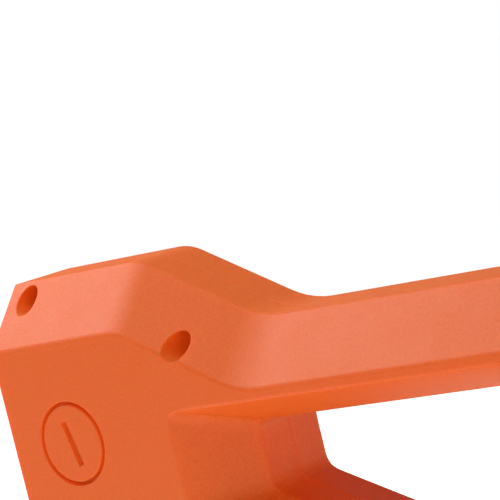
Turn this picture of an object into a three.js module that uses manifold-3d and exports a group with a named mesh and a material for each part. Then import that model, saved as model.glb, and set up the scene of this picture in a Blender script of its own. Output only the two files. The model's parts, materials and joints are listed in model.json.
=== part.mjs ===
// Handheld belt sander with an orange clamshell housing, a closed D-handle and a vertical motor.
// Millimetres. +X runs forward along the handle, +Z is up and the belt's sole lies at z = 0.
// Y is measured from the seam between the two housing halves.
import * as THREE from 'three';
import { mergeVertices } from 'three/addons/utils/BufferGeometryUtils.js';
import Module from 'manifold-3d';

const wasm = await Module();
wasm.setup();

// ---------- driving dimensions ----------
const touch = 0.3;            // gap kept between pieces that rest on each other
const drillOver = 2;          // how far a cutter runs past the face that it opens
const curveSteps = 5;         // chords in each rounded corner

// housing, seen from the side
const housingTop = 175;
const halfWidth = 24;
const topFlatHalf = 10;       // half width of the flat on top of the block and the handle
const wall = 2.6;
const bevelDrop = 14.8;       // height of the upper bevel
const blockLength = 44.2;     // flat top of the rear block
const slopeRun = 34.7;        // from the block's top edge to the handle
const slopeDrop = 18.6;
const handleEnd = 190;        // where the handle turns down to the nose
const noseX = 232;
const noseDrop = 63;          // from the housing's top to the foot of the nose
const noseChamfer = 6;
const seamGap = 0.15;         // each half stops this far from the seam

// hand opening
const openingRear = 70.5;
const openingFront = 192;
const openingLean = 10;       // the front wall leans forward by this much
const openingRadii = { rearTop: 3.5, rearFloor: 5, flare: 3, floor: 30, front: 12, frontTop: 10 };
const bandHeight = 2.7;       // upright band along the handle's side
const lowerBevel = 6.7;       // height of the bevel under the handle
const flareHalf = 10.7;       // half width of the flat inside the opening
const flareRear = 16.3;       // how far the rear wall's chamfer reaches back
const flareFront = 8;
const flareDown = 9;
const floorRear = 115.2;      // floor height at the rear wall
const floorFront = 84;
const floorTurn = 140;        // where the floor stops sloping

// running gear
const beltWidth = 76;
const beltThickness = 1.2;
const rollerRadius = 18;
const driveX = 10;
const rollerSpan = 208;       // distance between the two roller axes
const armThickness = 3;       // arms that hold the roller ends
const tyreThickness = 2;
const crown = 0.4;
const driveShaftRadius = 5;
const drivePivotRadius = 3;
const frontAxleRadius = 4;

// chassis
const deckGap = 3;            // air between the belt's top run and the deck
const deckThickness = 4;
const deckRear = -26;
const deckFront = 238;
const deckCorner = { rear: 10, front: 18 };
const beamInset = { rear: 8, front: 16 };  // from the rollers to the beam's ends
const beamTop = 30;
const sideGap = 2;            // air between the belt's edge and the side wall
const sideWallThickness = 4;
const bossLength = 3;
const pocketHalf = 14;        // half width of the yoke's slot
const pocketRear = 112;
const beamWall = 4;
const platenThickness = 2;
const pillarWidth = 7;
const pillarClear = 1.4;      // between the inner pillar and the housing's wall
const towerClear = 2;         // between the housing's flank and the jack shaft's outer cheek
const barThickness = 6;
const stemRear = 145;
const tensionCoil = { radius: 5.6, wire: 0.9, turns: 7 };
const leverPinRadius = 3;
const knobShaftRadius = 2.5;
const padThickness = 2;
const coverWall = 2;

// transmission
const statorBack = 0.4;       // between the stator and the housing's rear wall
const gearBack = 1.6;         // between the gear's pitch circle and the same wall
const jackRise = 18;          // jack shaft's axis above the deck
const pinionTeeth = 10;
const bevelTeeth = 24;
const gearModule = 1.2;
const smallPulleyTeeth = 11;
const largePulleyTeeth = 26;
const pulleyModule = 1;
const pulleyWidth = 9;
const pulleyToothDepth = 0.9;
const timingBeltWidth = 7;
const timingBeltThickness = 1.5;
const seatStep = 1;           // the shafts step down by this where they carry a pulley
const jackRadius = 4;
const jackBearing = { outer: 8, width: 6 };
const driveBearing = { outer: 11, width: 6.6 };
const pivotBearing = { outer: 6, width: 3 };

// motor
const armatureShaftRadius = 3;
const pinionShaftRadius = 2.5;
const poleDepth = 7;          // from the stator's outside to its bore
const statorClear = 3.6;      // between the stator and the housing's wall
const statorYoke = 2.2;
const statorRise = 3;         // stator above the fan
const windingLength = 6.75;   // from the stator to the commutator
const poleMargin = 1.2;       // pole's width over the armature's radius
const coilOverhang = 2.4;
const coilSide = 1.8;
const fanInset = 1;           // fan's rim inside the stator's outside
const fanRise = 25;           // fan above the jack shaft's axis
const fanHeight = 6;
const fanBlades = 11;
const commutatorStep = 2.6;   // commutator's radius below the armature's
const commutatorLength = 14;
const brushDrop = 40.25;      // brush axis below the housing's top
const brushSide = 6;
const brushBearing = { outer: 7.5, width: 6 };
const lowerBearing = { outer: 9, width: 6 };
const capHoleRadius = 10.7;
const capGroove = 1;
const capThickness = 2.4;
const capSlot = { length: 11.5, width: 1.8, depth: 1.2, turn: -0.23 };
const capSeatFloor = 1.2;     // wall left behind the cap
const capSeatRim = 1.8;       // boss round the cap's hole, inside the housing
const capSpigotRadius = 7.4;
const holderRadius = 9.4;
const brushLength = 5.6;
const springReach = { radius: 2.1, wire: 0.35, turns: 3 };
const shelfRim = 1.2;         // bearing shelf above and below its bearing
const gearTaper = 0.75;       // small end of the bevel teeth over the large end

// controls
const triggerX = 152;
const triggerLength = 20;
const triggerHalf = 7;
const triggerTravel = 5;
const triggerReach = 13;
const dialX = 184;
const dialRadius = 8;
const dialHalf = 4;
const dialShow = 2;
const dialPinRadius = 1.5;
const lockX = 200;
const lockDrop = 17.4;        // lock button's axis below the handle's top
const lockInset = 4.5;        // lock button's face inside the housing's flank
const lockRadius = 3.5;
const lockTravel = 2.5;
const leverPivotX = 150;
const leverLength = 44;
const leverThickness = 3;
const knobX = 160;
const knobRadius = 9;
const switchHeight = 10;
const yokeTravel = 6;

// fasteners
const accessRadius = 3.3;     // holes that the housing screws go in through
const screwRadius = 1.6;
const screwHeadRadius = 2.7;
const bossRadius = 4.6;
const screwReach = 8;         // thread beyond the seam
const screwHeadHeight = 2.2;
const screwCross = { reach: 1.1, half: 0.35, depth: 1 };

// dust outlet and cord entry
const hoodLength = 23;
const hoodHalf = 30;
const hoodHeight = 32;
const hoodWall = 2.2;
const spigotRadius = 15;
const spigotLength = 26;
const glandRadius = 6;
const glandLength = 14;
const glandDrop = 43;         // cord gland's axis below the housing's top

// ---------- places worked out from them ----------
const beltInner = rollerRadius + touch;
const beltOuter = beltInner + beltThickness;
const axisZ = beltOuter;
const frontX = driveX + rollerSpan;
const beamRear = driveX + rollerRadius + beamInset.rear;
const beamFront = frontX - rollerRadius - beamInset.front;
const deckLow = axisZ + beltOuter + deckGap;
const deckHigh = deckLow + deckThickness;
const housingLow = deckHigh + touch;
const handleTop = housingTop - slopeDrop;
const noseZ = housingTop - noseDrop;
const lockZ = handleTop - lockDrop;
const handleBand = handleTop - bevelDrop - bandHeight;
const openingTop = handleBand - lowerBevel;
const sideWallInner = beltWidth / 2 + sideGap;
const sideWallOuter = sideWallInner + sideWallThickness;
const bossOuter = sideWallOuter + bossLength;
const brushZ = housingTop - brushDrop;
const glandZ = housingTop - glandDrop;
const innerHalf = halfWidth - wall;
const innerPillar = { low: innerHalf - pillarClear - pillarWidth, high: innerHalf - pillarClear };
const statorRadius = innerHalf - statorClear;
const bevelPitch = (bevelTeeth * gearModule) / 2;
const motorX = wall + Math.max(statorBack + statorRadius, gearBack + bevelPitch);
const armatureRadius = statorRadius - poleDepth;
const poleWidth = armatureRadius + poleMargin;
const fanRadius = statorRadius - fanInset;
const commutatorRadius = armatureRadius - commutatorStep;
const jackZ = deckHigh + jackRise;
const fanLow = jackZ + fanRise;
const statorLow = fanLow + fanHeight + statorRise;
const soleMiddle = driveX + rollerSpan / 2;

const capSeatDepth = capThickness + touch;
const holderOuter = halfWidth - capSeatDepth - capSeatFloor - touch;
const holderInner = commutatorRadius + 1.6;
const spigotEnd = holderOuter - capSeatFloor;
const lowerBearingLow = fanLow - 2 - lowerBearing.width;
const commutatorLow = brushZ - commutatorLength / 2;
const statorHigh = commutatorLow - windingLength;
const upperBearingLow = brushZ + commutatorLength / 2 + brushBearing.width;
const pinionPitch = (pinionTeeth * gearModule) / 2;
const pulleyLow = bossOuter + 1.5;
const pulleyHigh = pulleyLow + pulleyWidth;
const smallPulleyRadius = (smallPulleyTeeth * pulleyModule) / 2;
const largePulleyRadius = (largePulleyTeeth * pulleyModule) / 2;

const rollerHalf = beltWidth / 2 - beamWall + touch;
const armInner = rollerHalf + touch * 2;
const armOuter = armInner + armThickness;
const towerInner = halfWidth + towerClear;
const beamLow = beltThickness + padThickness + platenThickness + touch * 3;
const stemHalf = pocketHalf - touch;
const barRear = beamFront + yokeTravel + 1;
const yokeLow = beamLow + beamWall + touch;
const yokeHigh = beamTop - touch;
const leverOuter = -beltWidth / 2 - touch * 2 - leverThickness;
const coverScrew = { x: (driveX + motorX) / 2, z: (axisZ + jackZ) / 2, radius: 1.8 };
const coverHigh = pulleyHigh + 5;
const switchLow = handleTop - wall - switchHeight;
const dialZ = handleTop + dialShow - dialRadius;
const hoodRear = -touch * 2 - hoodLength;
const spigotZ = housingLow + spigotRadius + 1;

// ---------- finishes ----------
const finish = (color, roughness, metalness = 0) =>
  new THREE.MeshStandardMaterial({ color, roughness, metalness });
const orange = finish(0xdc5b31, 0.62);
const black = finish(0x2a2a2c, 0.6);
const rubber = finish(0x1c1c1e, 0.85);
const castMetal = finish(0x9a9da1, 0.45, 0.9);
const steel = finish(0xb9bcc0, 0.3, 1);
const copper = finish(0xb06a3a, 0.4, 1);
const carbon = finish(0x303033, 0.8);
const grit = finish(0x8a4a32, 0.95);
const felt = finish(0x4a4a48, 0.95);

// ---------- solids ----------
function solid(geometry) {
  const plain = geometry.clone();
  plain.deleteAttribute('normal');
  plain.deleteAttribute('uv');
  const merged = mergeVertices(plain, 1e-4);
  const mesh = new wasm.Mesh({
    numProp: 3,
    vertProperties: new Float32Array(merged.attributes.position.array),
    triVerts: new Uint32Array(merged.index.array),
  });
  return new wasm.Manifold(mesh);
}

function geometryOf(manifold) {
  const mesh = manifold.getMesh();
  const geometry = new THREE.BufferGeometry();
  geometry.setAttribute('position', new THREE.BufferAttribute(new Float32Array(mesh.vertProperties), 3));
  geometry.setIndex(new THREE.BufferAttribute(new Uint32Array(mesh.triVerts), 1));
  geometry.computeVertexNormals();
  return geometry;
}

function join(first, ...others) {
  return others.reduce((whole, piece) => whole.add(piece), first);
}

function cut(body, ...cutters) {
  return cutters.reduce((rest, cutter) => rest.subtract(cutter), body);
}

function box([x0, x1], [y0, y1], [z0, z1]) {
  const geometry = new THREE.BoxGeometry(x1 - x0, y1 - y0, z1 - z0);
  geometry.translate((x0 + x1) / 2, (y0 + y1) / 2, (z0 + z1) / 2);
  return solid(geometry);
}

// a cylinder or cone whose axis lies along Y, from low to high
function rodY(radius, low, high, x, z, sides = 32) {
  const geometry = new THREE.CylinderGeometry(radius, radius, high - low, sides);
  geometry.translate(x, (low + high) / 2, z);
  return solid(geometry);
}

function rodZ(radius, low, high, x, y, sides = 32) {
  const geometry = new THREE.CylinderGeometry(radius, radius, high - low, sides);
  geometry.rotateX(Math.PI / 2);
  geometry.translate(x, y, (low + high) / 2);
  return solid(geometry);
}

function rodX(radius, low, high, y, z, sides = 32) {
  const geometry = new THREE.CylinderGeometry(radius, radius, high - low, sides);
  geometry.rotateZ(Math.PI / 2);
  geometry.translate((low + high) / 2, y, z);
  return solid(geometry);
}

// a turned piece on the Y axis: profile is a closed list of [radius, distance along Y]
function turned(profile, sides = 36) {
  const points = profile.map(([radius, along]) => new THREE.Vector2(radius, along));
  return new THREE.LatheGeometry(points, sides);
}

function ringProfile(outer, inner, low, high) {
  return [[inner, low], [outer, low], [outer, high], [inner, high], [inner, low]];
}

function ringY(outer, inner, low, high, sides) {
  return turned(ringProfile(outer, inner, low, high), sides);
}

function uprightRing(outer, inner, low, high, sides) {
  const geometry = ringY(outer, inner, low, high, sides);
  geometry.rotateX(Math.PI / 2);
  return geometry;
}

// corners with radii become a list of points: a round corner always gives curveSteps + 1 points
function rounded(corners) {
  const points = [];
  corners.forEach(([x, z, radius], index) => {
    const here = new THREE.Vector2(x, z);
    if (!radius) {
      points.push(here);
      return;
    }
    const [px, pz] = corners[(index + corners.length - 1) % corners.length];
    const [nx, nz] = corners[(index + 1) % corners.length];
    const back = new THREE.Vector2(px, pz).sub(here);
    const ahead = new THREE.Vector2(nx, nz).sub(here);
    const half = Math.abs(back.angleTo(ahead)) / 2;
    const room = Math.min(back.length(), ahead.length()) * 0.48;
    const trim = Math.min(radius / Math.tan(half), room);
    const start = here.clone().add(back.setLength(trim));
    const end = here.clone().add(ahead.setLength(trim));
    const curve = new THREE.QuadraticBezierCurve(start, here, end);
    points.push(...curve.getPoints(curveSteps));
  });
  return points;
}

function nearest(points, x, y) {
  const distances = points.map((point) => Math.hypot(point.x - x, point.y - y));
  return distances.indexOf(Math.min(...distances));
}

// a ruled solid through outlines in the XZ plane, one at each given Y
function loft(rings) {
  const outline = rings[0].points;
  const shape = new THREE.Shape(outline);
  const steps = rings.length - 1;
  const geometry = new THREE.ExtrudeGeometry(shape, { depth: steps, steps, bevelEnabled: false });
  const position = geometry.attributes.position;
  for (let i = 0; i < position.count; i += 1) {
    const ring = rings[Math.round(position.getZ(i))];
    const point = ring.points[nearest(outline, position.getX(i), position.getY(i))];
    position.setXYZ(i, point.x, ring.y, point.y);
  }
  if (rings[1].y > rings[0].y) {
    flip(geometry);
  }
  return solid(geometry);
}

function flip(geometry) {
  const position = geometry.attributes.position;
  for (let i = 0; i < position.count; i += 3) {
    const swap = new THREE.Vector3().fromBufferAttribute(position, i + 1);
    const other = new THREE.Vector3().fromBufferAttribute(position, i + 2);
    position.setXYZ(i + 1, other.x, other.y, other.z);
    position.setXYZ(i + 2, swap.x, swap.y, swap.z);
  }
}

function prismY(points, low, high) {
  return loft([{ y: low, points }, { y: high, points }]);
}

// outline of the belt-like hull round two circles
function hullOutline(first, second, grow = 0) {
  const dx = second.x - first.x;
  const dz = second.z - first.z;
  const heading = Math.atan2(dz, dx);
  const lean = Math.acos((first.radius - second.radius) / Math.hypot(dx, dz));
  const arc = (circle, from, to) => {
    const steps = 14;
    return Array.from({ length: steps + 1 }, (_, i) => {
      const angle = from + ((to - from) * i) / steps;
      const radius = circle.radius + grow;
      return new THREE.Vector2(circle.x + radius * Math.cos(angle), circle.z + radius * Math.sin(angle));
    });
  };
  return [
    ...arc(first, heading + lean, heading - lean + Math.PI * 2),
    ...arc(second, heading - lean, heading + lean),
  ];
}

function coil({ radius, wire, low, high, turns, sides = 5 }) {
  const coilChords = 8;
  const path = new THREE.CatmullRomCurve3(
    Array.from({ length: turns * coilChords + 1 }, (_, i) => {
      const angle = (i / coilChords) * Math.PI * 2;
      const along = low + wire + ((high - low - 2 * wire) * i) / (turns * coilChords);
      return new THREE.Vector3(radius * Math.cos(angle), along, radius * Math.sin(angle));
    }),
  );
  const section = new THREE.Shape(
    Array.from({ length: sides }, (_, i) => {
      const angle = (i / sides) * Math.PI * 2;
      return new THREE.Vector2(wire * Math.cos(angle), wire * Math.sin(angle));
    }),
  );
  const steps = turns * coilChords;
  return new THREE.ExtrudeGeometry(section, { steps, extrudePath: path, bevelEnabled: false });
}

const object = new THREE.Group();
object.position.x = -soleMiddle;

function place(name, shape, material, parent = object) {
  const geometry = shape instanceof THREE.BufferGeometry ? shape : geometryOf(shape);
  const mesh = new THREE.Mesh(geometry, material);
  mesh.name = name;
  parent.add(mesh);
  return mesh;
}

function groupAt(x, y, z) {
  const group = new THREE.Group();
  group.position.set(x, y, z);
  object.add(group);
  return group;
}

// seat is the distance from the seam to the head's seat
const screwSpots = [
  { x: 7.1, z: housingTop - 4.3, seat: 3.5 },
  { x: 60.6, z: housingTop - 21.1, seat: 6 },
  { x: 46, z: 56, seat: 12 },
  { x: 128, z: 60, seat: 12 },
  { x: 216, z: 60, seat: 12 },
  { x: 214, z: noseZ + 9, seat: 10 },
];

// ---------- housing ----------
// side outline of the housing; inset draws the inside of the wall, drop and chamfer the flank
function housingOutline({ inset = 0, drop = 0, chamfer = 0 } = {}) {
  const rise = -drop - inset;
  const floor = housingLow - (inset ? drillOver : 0);
  return rounded([
    [inset, floor],
    [inset, housingTop + rise],
    [blockLength - inset * 0.25, housingTop + rise, 14],
    [blockLength + slopeRun - inset * 0.25, handleTop + rise, 28],
    [handleEnd - inset * 0.4, handleTop + rise, 22],
    [noseX - inset - chamfer, noseZ + rise + inset * 0.5, 16],
    [noseX - inset - chamfer, floor],
  ]);
}

// side outline of the hand opening; share runs from 0 at the flat to 1 at the outer face
function openingOutline(share, grow = 0) {
  const rear = openingRear - flareRear * share - grow;
  const front = openingFront + flareFront * share + grow;
  const top = openingTop + lowerBevel * share + grow;
  const slope = (floorRear - floorFront) / (floorTurn - openingRear);
  const drop = flareDown * share + grow;
  const floorRadius = openingRadii.rearFloor + openingRadii.flare * share;
  return rounded([
    [rear, top, openingRadii.rearTop],
    [rear, floorRear + slope * (openingRear - rear) - drop, floorRadius],
    [floorTurn, floorFront - drop, openingRadii.floor],
    [front, floorFront - drop, openingRadii.front],
    [front - openingLean, top, openingRadii.frontTop],
  ]);
}

function openingCutter(side, grow = 0) {
  const over = drillOver / (halfWidth - flareHalf);
  return loft([
    { y: -side * drillOver, points: openingOutline(0, grow) },
    { y: side * (flareHalf + grow * 0.4), points: openingOutline(0, grow) },
    { y: side * (halfWidth + drillOver), points: openingOutline(1 + over, grow) },
  ]);
}

function housingSolid(side) {
  const outer = loft([
    { y: side * seamGap, points: housingOutline() },
    { y: side * topFlatHalf, points: housingOutline() },
    { y: side * halfWidth, points: housingOutline({ drop: bevelDrop, chamfer: noseChamfer }) },
  ]);
  return cut(outer, openingCutter(side));
}

function housingHollow(side) {
  const inner = loft([
    { y: -side * drillOver, points: housingOutline({ inset: wall }) },
    { y: side * (topFlatHalf - wall * 0.4), points: housingOutline({ inset: wall }) },
    { y: side * innerHalf, points: housingOutline({ inset: wall, drop: bevelDrop, chamfer: noseChamfer }) },
  ]);
  return cut(inner, openingCutter(side, wall));
}

// low and high ends along Y of something that starts and stops at these distances from the seam
function span(side, near, far) {
  return side < 0 ? [-far, -near] : [near, far];
}

function screwBosses(side) {
  return screwSpots.map(({ x, z }) => rodY(bossRadius, ...span(side, seamGap, halfWidth), x, z, 20));
}

function screwHoles(side) {
  const shank = screwRadius + touch;
  return screwSpots.flatMap(({ x, z, seat }) => {
    if (side > 0) {
      return [rodY(shank, -drillOver, screwReach + drillOver, x, z, 12)];
    }
    return [
      rodY(shank, -seat - drillOver, drillOver, x, z, 12),
      rodY(accessRadius, -halfWidth - drillOver, -seat, x, z, 28),
    ];
  });
}

// a cross wall that carries a motor bearing
function bearingShelf(low, bearing) {
  const high = low + bearing.width;
  const across = [-halfWidth, halfWidth];
  const plate = box([wall / 2, motorX + statorRadius], across, [low - shelfRim, high + shelfRim]);
  const seat = rodZ(bearing.outer + touch, low - touch, high + touch, motorX, 0);
  const throat = rodZ(bearing.outer - drillOver, low - drillOver * 2, high + drillOver * 2, motorX, 0);
  return cut(plate, seat, throat);
}

function intakeSlots() {
  const count = 5;
  const pitch = 6;
  return Array.from({ length: count }, (_, i) => {
    const low = statorLow - drillOver + i * pitch;
    return box([-drillOver, wall + drillOver], [-halfWidth / 2, halfWidth / 2], [low, low + pitch / 2]);
  });
}

function exhaustSlots(side) {
  const count = 5;
  const pitch = 5.2;
  return Array.from({ length: count }, (_, i) => {
    const left = motorX + fanRadius + 4 + i * pitch;
    const through = span(side, innerHalf - drillOver, halfWidth + drillOver);
    return box([left, left + pitch / 2], through, [fanLow - 2, fanLow + fanHeight + 4]);
  });
}

function controlCuts(side) {
  const trigger = box(
    [triggerX - touch, triggerX + triggerLength + touch],
    [-triggerHalf - touch, triggerHalf + touch],
    [openingTop - drillOver, openingTop + wall + drillOver / 2],
  );
  const dial = box(
    [dialX - dialRadius - touch, dialX + dialRadius + touch],
    [-dialHalf - touch, dialHalf + touch],
    [dialZ - drillOver, handleTop + drillOver],
  );
  const lock = rodY(lockRadius + touch, -halfWidth - drillOver, -lockTravel, lockX, lockZ, 24);
  return side < 0 ? [trigger, dial, lock] : [trigger, dial];
}

// boss behind the brush cap
function capBoss(side) {
  const ends = span(side, holderOuter + touch, halfWidth);
  return rodY(capHoleRadius + capSeatRim, ...ends, motorX, brushZ, 44);
}

// recess that the brush cap sits in, with a throat for its spigot
function capSeat(side) {
  const recess = span(side, halfWidth - capSeatDepth, halfWidth + drillOver);
  const throat = span(side, holderOuter - drillOver, halfWidth);
  return [
    rodY(capHoleRadius, ...recess, motorX, brushZ, 48),
    rodY(capSpigotRadius + touch, ...throat, motorX, brushZ, 32),
  ];
}

function housingHalf(side) {
  const outer = housingSolid(side);
  const upperShelf = bearingShelf(upperBearingLow, brushBearing);
  const lowerShelf = bearingShelf(lowerBearingLow, lowerBearing);
  const ribs = outer.intersect(join(upperShelf, lowerShelf, capBoss(side), ...screwBosses(side)));
  const throughWall = [innerHalf - drillOver, halfWidth + drillOver];
  const jackHole = rodY(jackRadius + drillOver, ...throughWall, motorX, jackZ, 24);
  const gland = rodX(glandRadius - drillOver + touch, -drillOver, wall + drillOver, 0, glandZ, 24);
  return cut(
    join(cut(outer, housingHollow(side)), ribs),
    jackHole,
    ...capSeat(side),
    gland,
    ...screwHoles(side),
    ...intakeSlots(),
    ...exhaustSlots(side),
    ...controlCuts(side),
  );
}

function housingScrew({ x, z, seat }) {
  const top = -seat - touch;
  const head = rodY(screwHeadRadius, top - screwHeadHeight, top, x, z, 20);
  const shank = rodY(screwRadius, top - 0.5, screwReach, x, z, 12);
  const { reach, half, depth } = screwCross;
  const deep = [top - screwHeadHeight - depth, top - screwHeadHeight + depth];
  const slot = box([x - reach, x + reach], deep, [z - half, z + half]);
  const cross = box([x - half, x + half], deep, [z - reach, z + reach]);
  return cut(join(head, shank), slot, cross);
}

// ---------- motor ----------
// brush gear is drawn on the near side with its axis on Y, and turned round for the far side
function turnedTo(side, geometry) {
  return side < 0 ? geometry : geometry.clone().rotateZ(Math.PI);
}

function brushCap() {
  const disc = rodY(capHoleRadius - capGroove, -halfWidth, -halfWidth + capThickness, 0, 0, 48);
  const spigot = rodY(capSpigotRadius, -halfWidth + 1, -spigotEnd, 0, 0, 32);
  const slot = new THREE.BoxGeometry(capSlot.width, capSlot.depth * 2, capSlot.length);
  slot.rotateY(capSlot.turn);
  slot.translate(0, -halfWidth, 0);
  return geometryOf(cut(join(disc, spigot), solid(slot)));
}

function brushHolder() {
  const body = rodY(holderRadius, -holderOuter, -holderInner, 0, 0, 32);
  const bore = rodY(capSpigotRadius + touch, -holderOuter - 1, -spigotEnd + touch, 0, 0, 32);
  const half = brushSide / 2 + touch;
  const channel = box([-half, half], [-holderOuter, -holderInner + 1], [-half, half]);
  return geometryOf(cut(body, bore, channel));
}

function carbonBrush() {
  const tip = commutatorRadius + touch;
  return new THREE.BoxGeometry(brushSide, brushLength, brushSide).translate(0, -tip - brushLength / 2, 0);
}

function brushSpring() {
  const low = -spigotEnd + touch;
  const high = -commutatorRadius - brushLength - 2 * touch;
  return coil({ ...springReach, low, high });
}

function brushGear(side) {
  const label = side < 0 ? 'near' : 'far';
  const parent = groupAt(motorX, 0, brushZ);
  place(`brush_cap_${label}`, turnedTo(side, brushCap()), orange, parent);
  place(`brush_holder_${label}`, turnedTo(side, brushHolder()), black, parent);
  place(`carbon_brush_${label}`, turnedTo(side, carbonBrush()), carbon, parent);
  place(`brush_spring_${label}`, turnedTo(side, brushSpring()), steel, parent);
}

function statorCore() {
  const ring = solid(uprightRing(statorRadius, statorRadius - statorYoke, statorLow, statorHigh, 48));
  const poleReach = statorRadius - 1;
  const poles = box([-poleReach, poleReach], [-poleWidth / 2, poleWidth / 2], [statorLow, statorHigh]);
  return cut(join(ring, poles), rodZ(armatureRadius + 2 * touch, statorLow - 1, statorHigh + 1, 0, 0, 40));
}

function fieldCoil(side) {
  const near = armatureRadius + 3 * touch;
  const far = near + 1.2;
  const reach = poleWidth / 2 + touch;
  const wide = [-reach - coilSide, reach + coilSide];
  const outer = box(span(side, near, far), wide, [statorLow - coilOverhang, statorHigh + coilOverhang]);
  const window = box([-statorRadius, statorRadius], [-reach, reach], [statorLow - touch, statorHigh + touch]);
  return cut(outer, window);
}

function armatureShaft() {
  const nose = bevelPitch + jackZ;
  const low = nose - 5;
  return turned([
    [0, low],
    [pinionShaftRadius, low],
    [pinionShaftRadius, nose + 1.4],
    [armatureShaftRadius, nose + 1.4],
    [armatureShaftRadius, upperBearingLow + brushBearing.width],
    [0, upperBearingLow + brushBearing.width],
  ], 24).rotateX(Math.PI / 2);
}

function armatureCore() {
  const slots = 11;
  const body = rodZ(armatureRadius, statorLow, statorHigh, 0, 0, 44);
  const grooves = Array.from({ length: slots }, (_, i) => {
    const groove = new THREE.BoxGeometry(3, 1.6, statorHigh - statorLow + 2);
    groove.translate(armatureRadius, 0, (statorLow + statorHigh) / 2);
    groove.rotateZ((i / slots) * Math.PI * 2);
    return solid(groove);
  });
  const bore = rodZ(armatureShaftRadius + touch, statorLow - 1, statorHigh + 1, 0, 0, 24);
  return cut(body, ...grooves, bore);
}

function windingEnd(low, high) {
  const inner = armatureShaftRadius + touch;
  const outer = armatureRadius - 1.2;
  const middle = (low + high) / 2;
  return turned([
    [inner, low], [outer - 2, low], [outer, middle], [outer - 2, high], [inner, high], [inner, low],
  ], 32).rotateX(Math.PI / 2);
}

function commutatorBody() {
  const bars = 22;
  const body = rodZ(commutatorRadius, commutatorLow, commutatorLow + commutatorLength, 0, 0, 44);
  const gaps = Array.from({ length: bars }, (_, i) => {
    const gap = new THREE.BoxGeometry(1, 0.4, commutatorLength + 2);
    gap.translate(commutatorRadius, 0, brushZ);
    gap.rotateZ((i / bars) * Math.PI * 2);
    return solid(gap);
  });
  return cut(body, ...gaps, rodZ(armatureShaftRadius + touch, commutatorLow - 1, upperBearingLow, 0, 0, 24));
}

function motorBearing({ outer, width }, low) {
  return uprightRing(outer, armatureShaftRadius + touch, low, low + width, 32);
}

function motorFan() {
  const hub = rodZ(armatureShaftRadius + 3, fanLow, fanLow + fanHeight, 0, 0, 24);
  const disc = rodZ(fanRadius, fanLow + fanHeight - 1.4, fanLow + fanHeight, 0, 0, 44);
  const blades = Array.from({ length: fanBlades }, (_, i) => {
    const blade = new THREE.BoxGeometry(fanRadius - armatureShaftRadius - 2.5, 1.2, fanHeight - 0.5);
    blade.translate((fanRadius + armatureShaftRadius + 1.5) / 2, 0, fanLow + (fanHeight - 0.5) / 2 + 0.25);
    blade.rotateZ((i / fanBlades) * Math.PI * 2);
    return solid(blade);
  });
  const bore = rodZ(armatureShaftRadius + touch, fanLow - 1, fanLow + fanHeight + 1, 0, 0, 24);
  return cut(join(hub, disc, ...blades), bore);
}

// one tooth is four points at these radii and half angles in degrees
function toothedOutline({ teeth, root, tip, rootHalf, tipHalf, phase = 0 }) {
  return Array.from({ length: teeth }, (_, i) => {
    const centre = phase + (i / teeth) * Math.PI * 2;
    return [[root, -rootHalf], [tip, -tipHalf], [tip, tipHalf], [root, rootHalf]].map(([radius, turn]) => {
      const angle = centre + THREE.MathUtils.degToRad(turn);
      return new THREE.Vector2(radius * Math.cos(angle), radius * Math.sin(angle));
    });
  }).flat();
}

function scaled(points, factor) {
  return points.map((point) => point.clone().multiplyScalar(factor));
}

// bevel teeth narrow towards the point where the two axes meet, at the group's origin
function bevelTeethSolid(outline, reach) {
  return loft([
    { y: reach * gearTaper, points: scaled(outline, gearTaper) },
    { y: reach, points: outline },
  ]);
}

function bevelPinion() {
  const outline = toothedOutline({
    teeth: pinionTeeth,
    root: pinionPitch - 1.4,
    tip: pinionPitch + 1,
    rootHalf: 9.5,
    tipHalf: 3.6,
    phase: Math.PI / 2,
  });
  const collar = rodY(pinionPitch - 1, bevelPitch - 0.1, bevelPitch + 1.2, 0, 0, 24);
  const body = join(bevelTeethSolid(outline, bevelPitch), collar);
  const bored = cut(body, rodY(pinionShaftRadius + touch, 0, bevelPitch + 4, 0, 0, 20));
  return geometryOf(bored).rotateX(Math.PI / 2);
}

function bevelGear() {
  const outline = toothedOutline({
    teeth: bevelTeeth,
    root: bevelPitch - 2.8,
    tip: bevelPitch + 1.6,
    rootHalf: 4.1,
    tipHalf: 1.9,
    phase: Math.PI / 2 + Math.PI / bevelTeeth,
  });
  const web = rodY(bevelPitch - 3, pinionPitch - 0.1, pinionPitch + 1.5, 0, 0, 40);
  const hub = rodY(jackRadius + 4, pinionPitch + 1.4, pinionPitch + 6, 0, 0, 24);
  const body = join(bevelTeethSolid(outline, pinionPitch), web, hub);
  return cut(body, rodY(jackRadius + touch, 0, pinionPitch + 8, 0, 0, 24));
}

// ---------- transmission and rollers ----------
function pulley(teeth, radius, bore) {
  const pitch = 360 / teeth;
  const root = radius - pulleyToothDepth;
  const outline = toothedOutline({ teeth, root, tip: radius, rootHalf: pitch * 0.34, tipHalf: pitch * 0.22 });
  const hole = rodY(bore + touch, pulleyLow - 1, pulleyHigh + 1, 0, 0, 24);
  return cut(prismY(outline, pulleyLow, pulleyHigh), hole);
}

function timingBelt() {
  const small = { x: motorX, z: jackZ, radius: smallPulleyRadius };
  const large = { x: driveX, z: axisZ, radius: largePulleyRadius };
  const middle = (pulleyLow + pulleyHigh) / 2;
  const low = middle - timingBeltWidth / 2;
  const high = middle + timingBeltWidth / 2;
  const outer = prismY(hullOutline(large, small, touch + timingBeltThickness), low, high);
  return cut(outer, prismY(hullOutline(large, small, touch), low - 1, high + 1));
}

function bearing({ outer, width }, inner, low) {
  const groove = 0.5;
  const lip = inner + (outer - inner) * 0.3;
  const rim = outer - (outer - inner) * 0.3;
  const slant = 0.3;
  const floor = low + groove;
  const face = [[inner, low], [lip, low], [lip + slant, floor], [rim - slant, floor], [rim, low]];
  return turned([...face, [outer, low], [outer, low + width], [inner, low + width], [inner, low]], 24);
}

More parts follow.
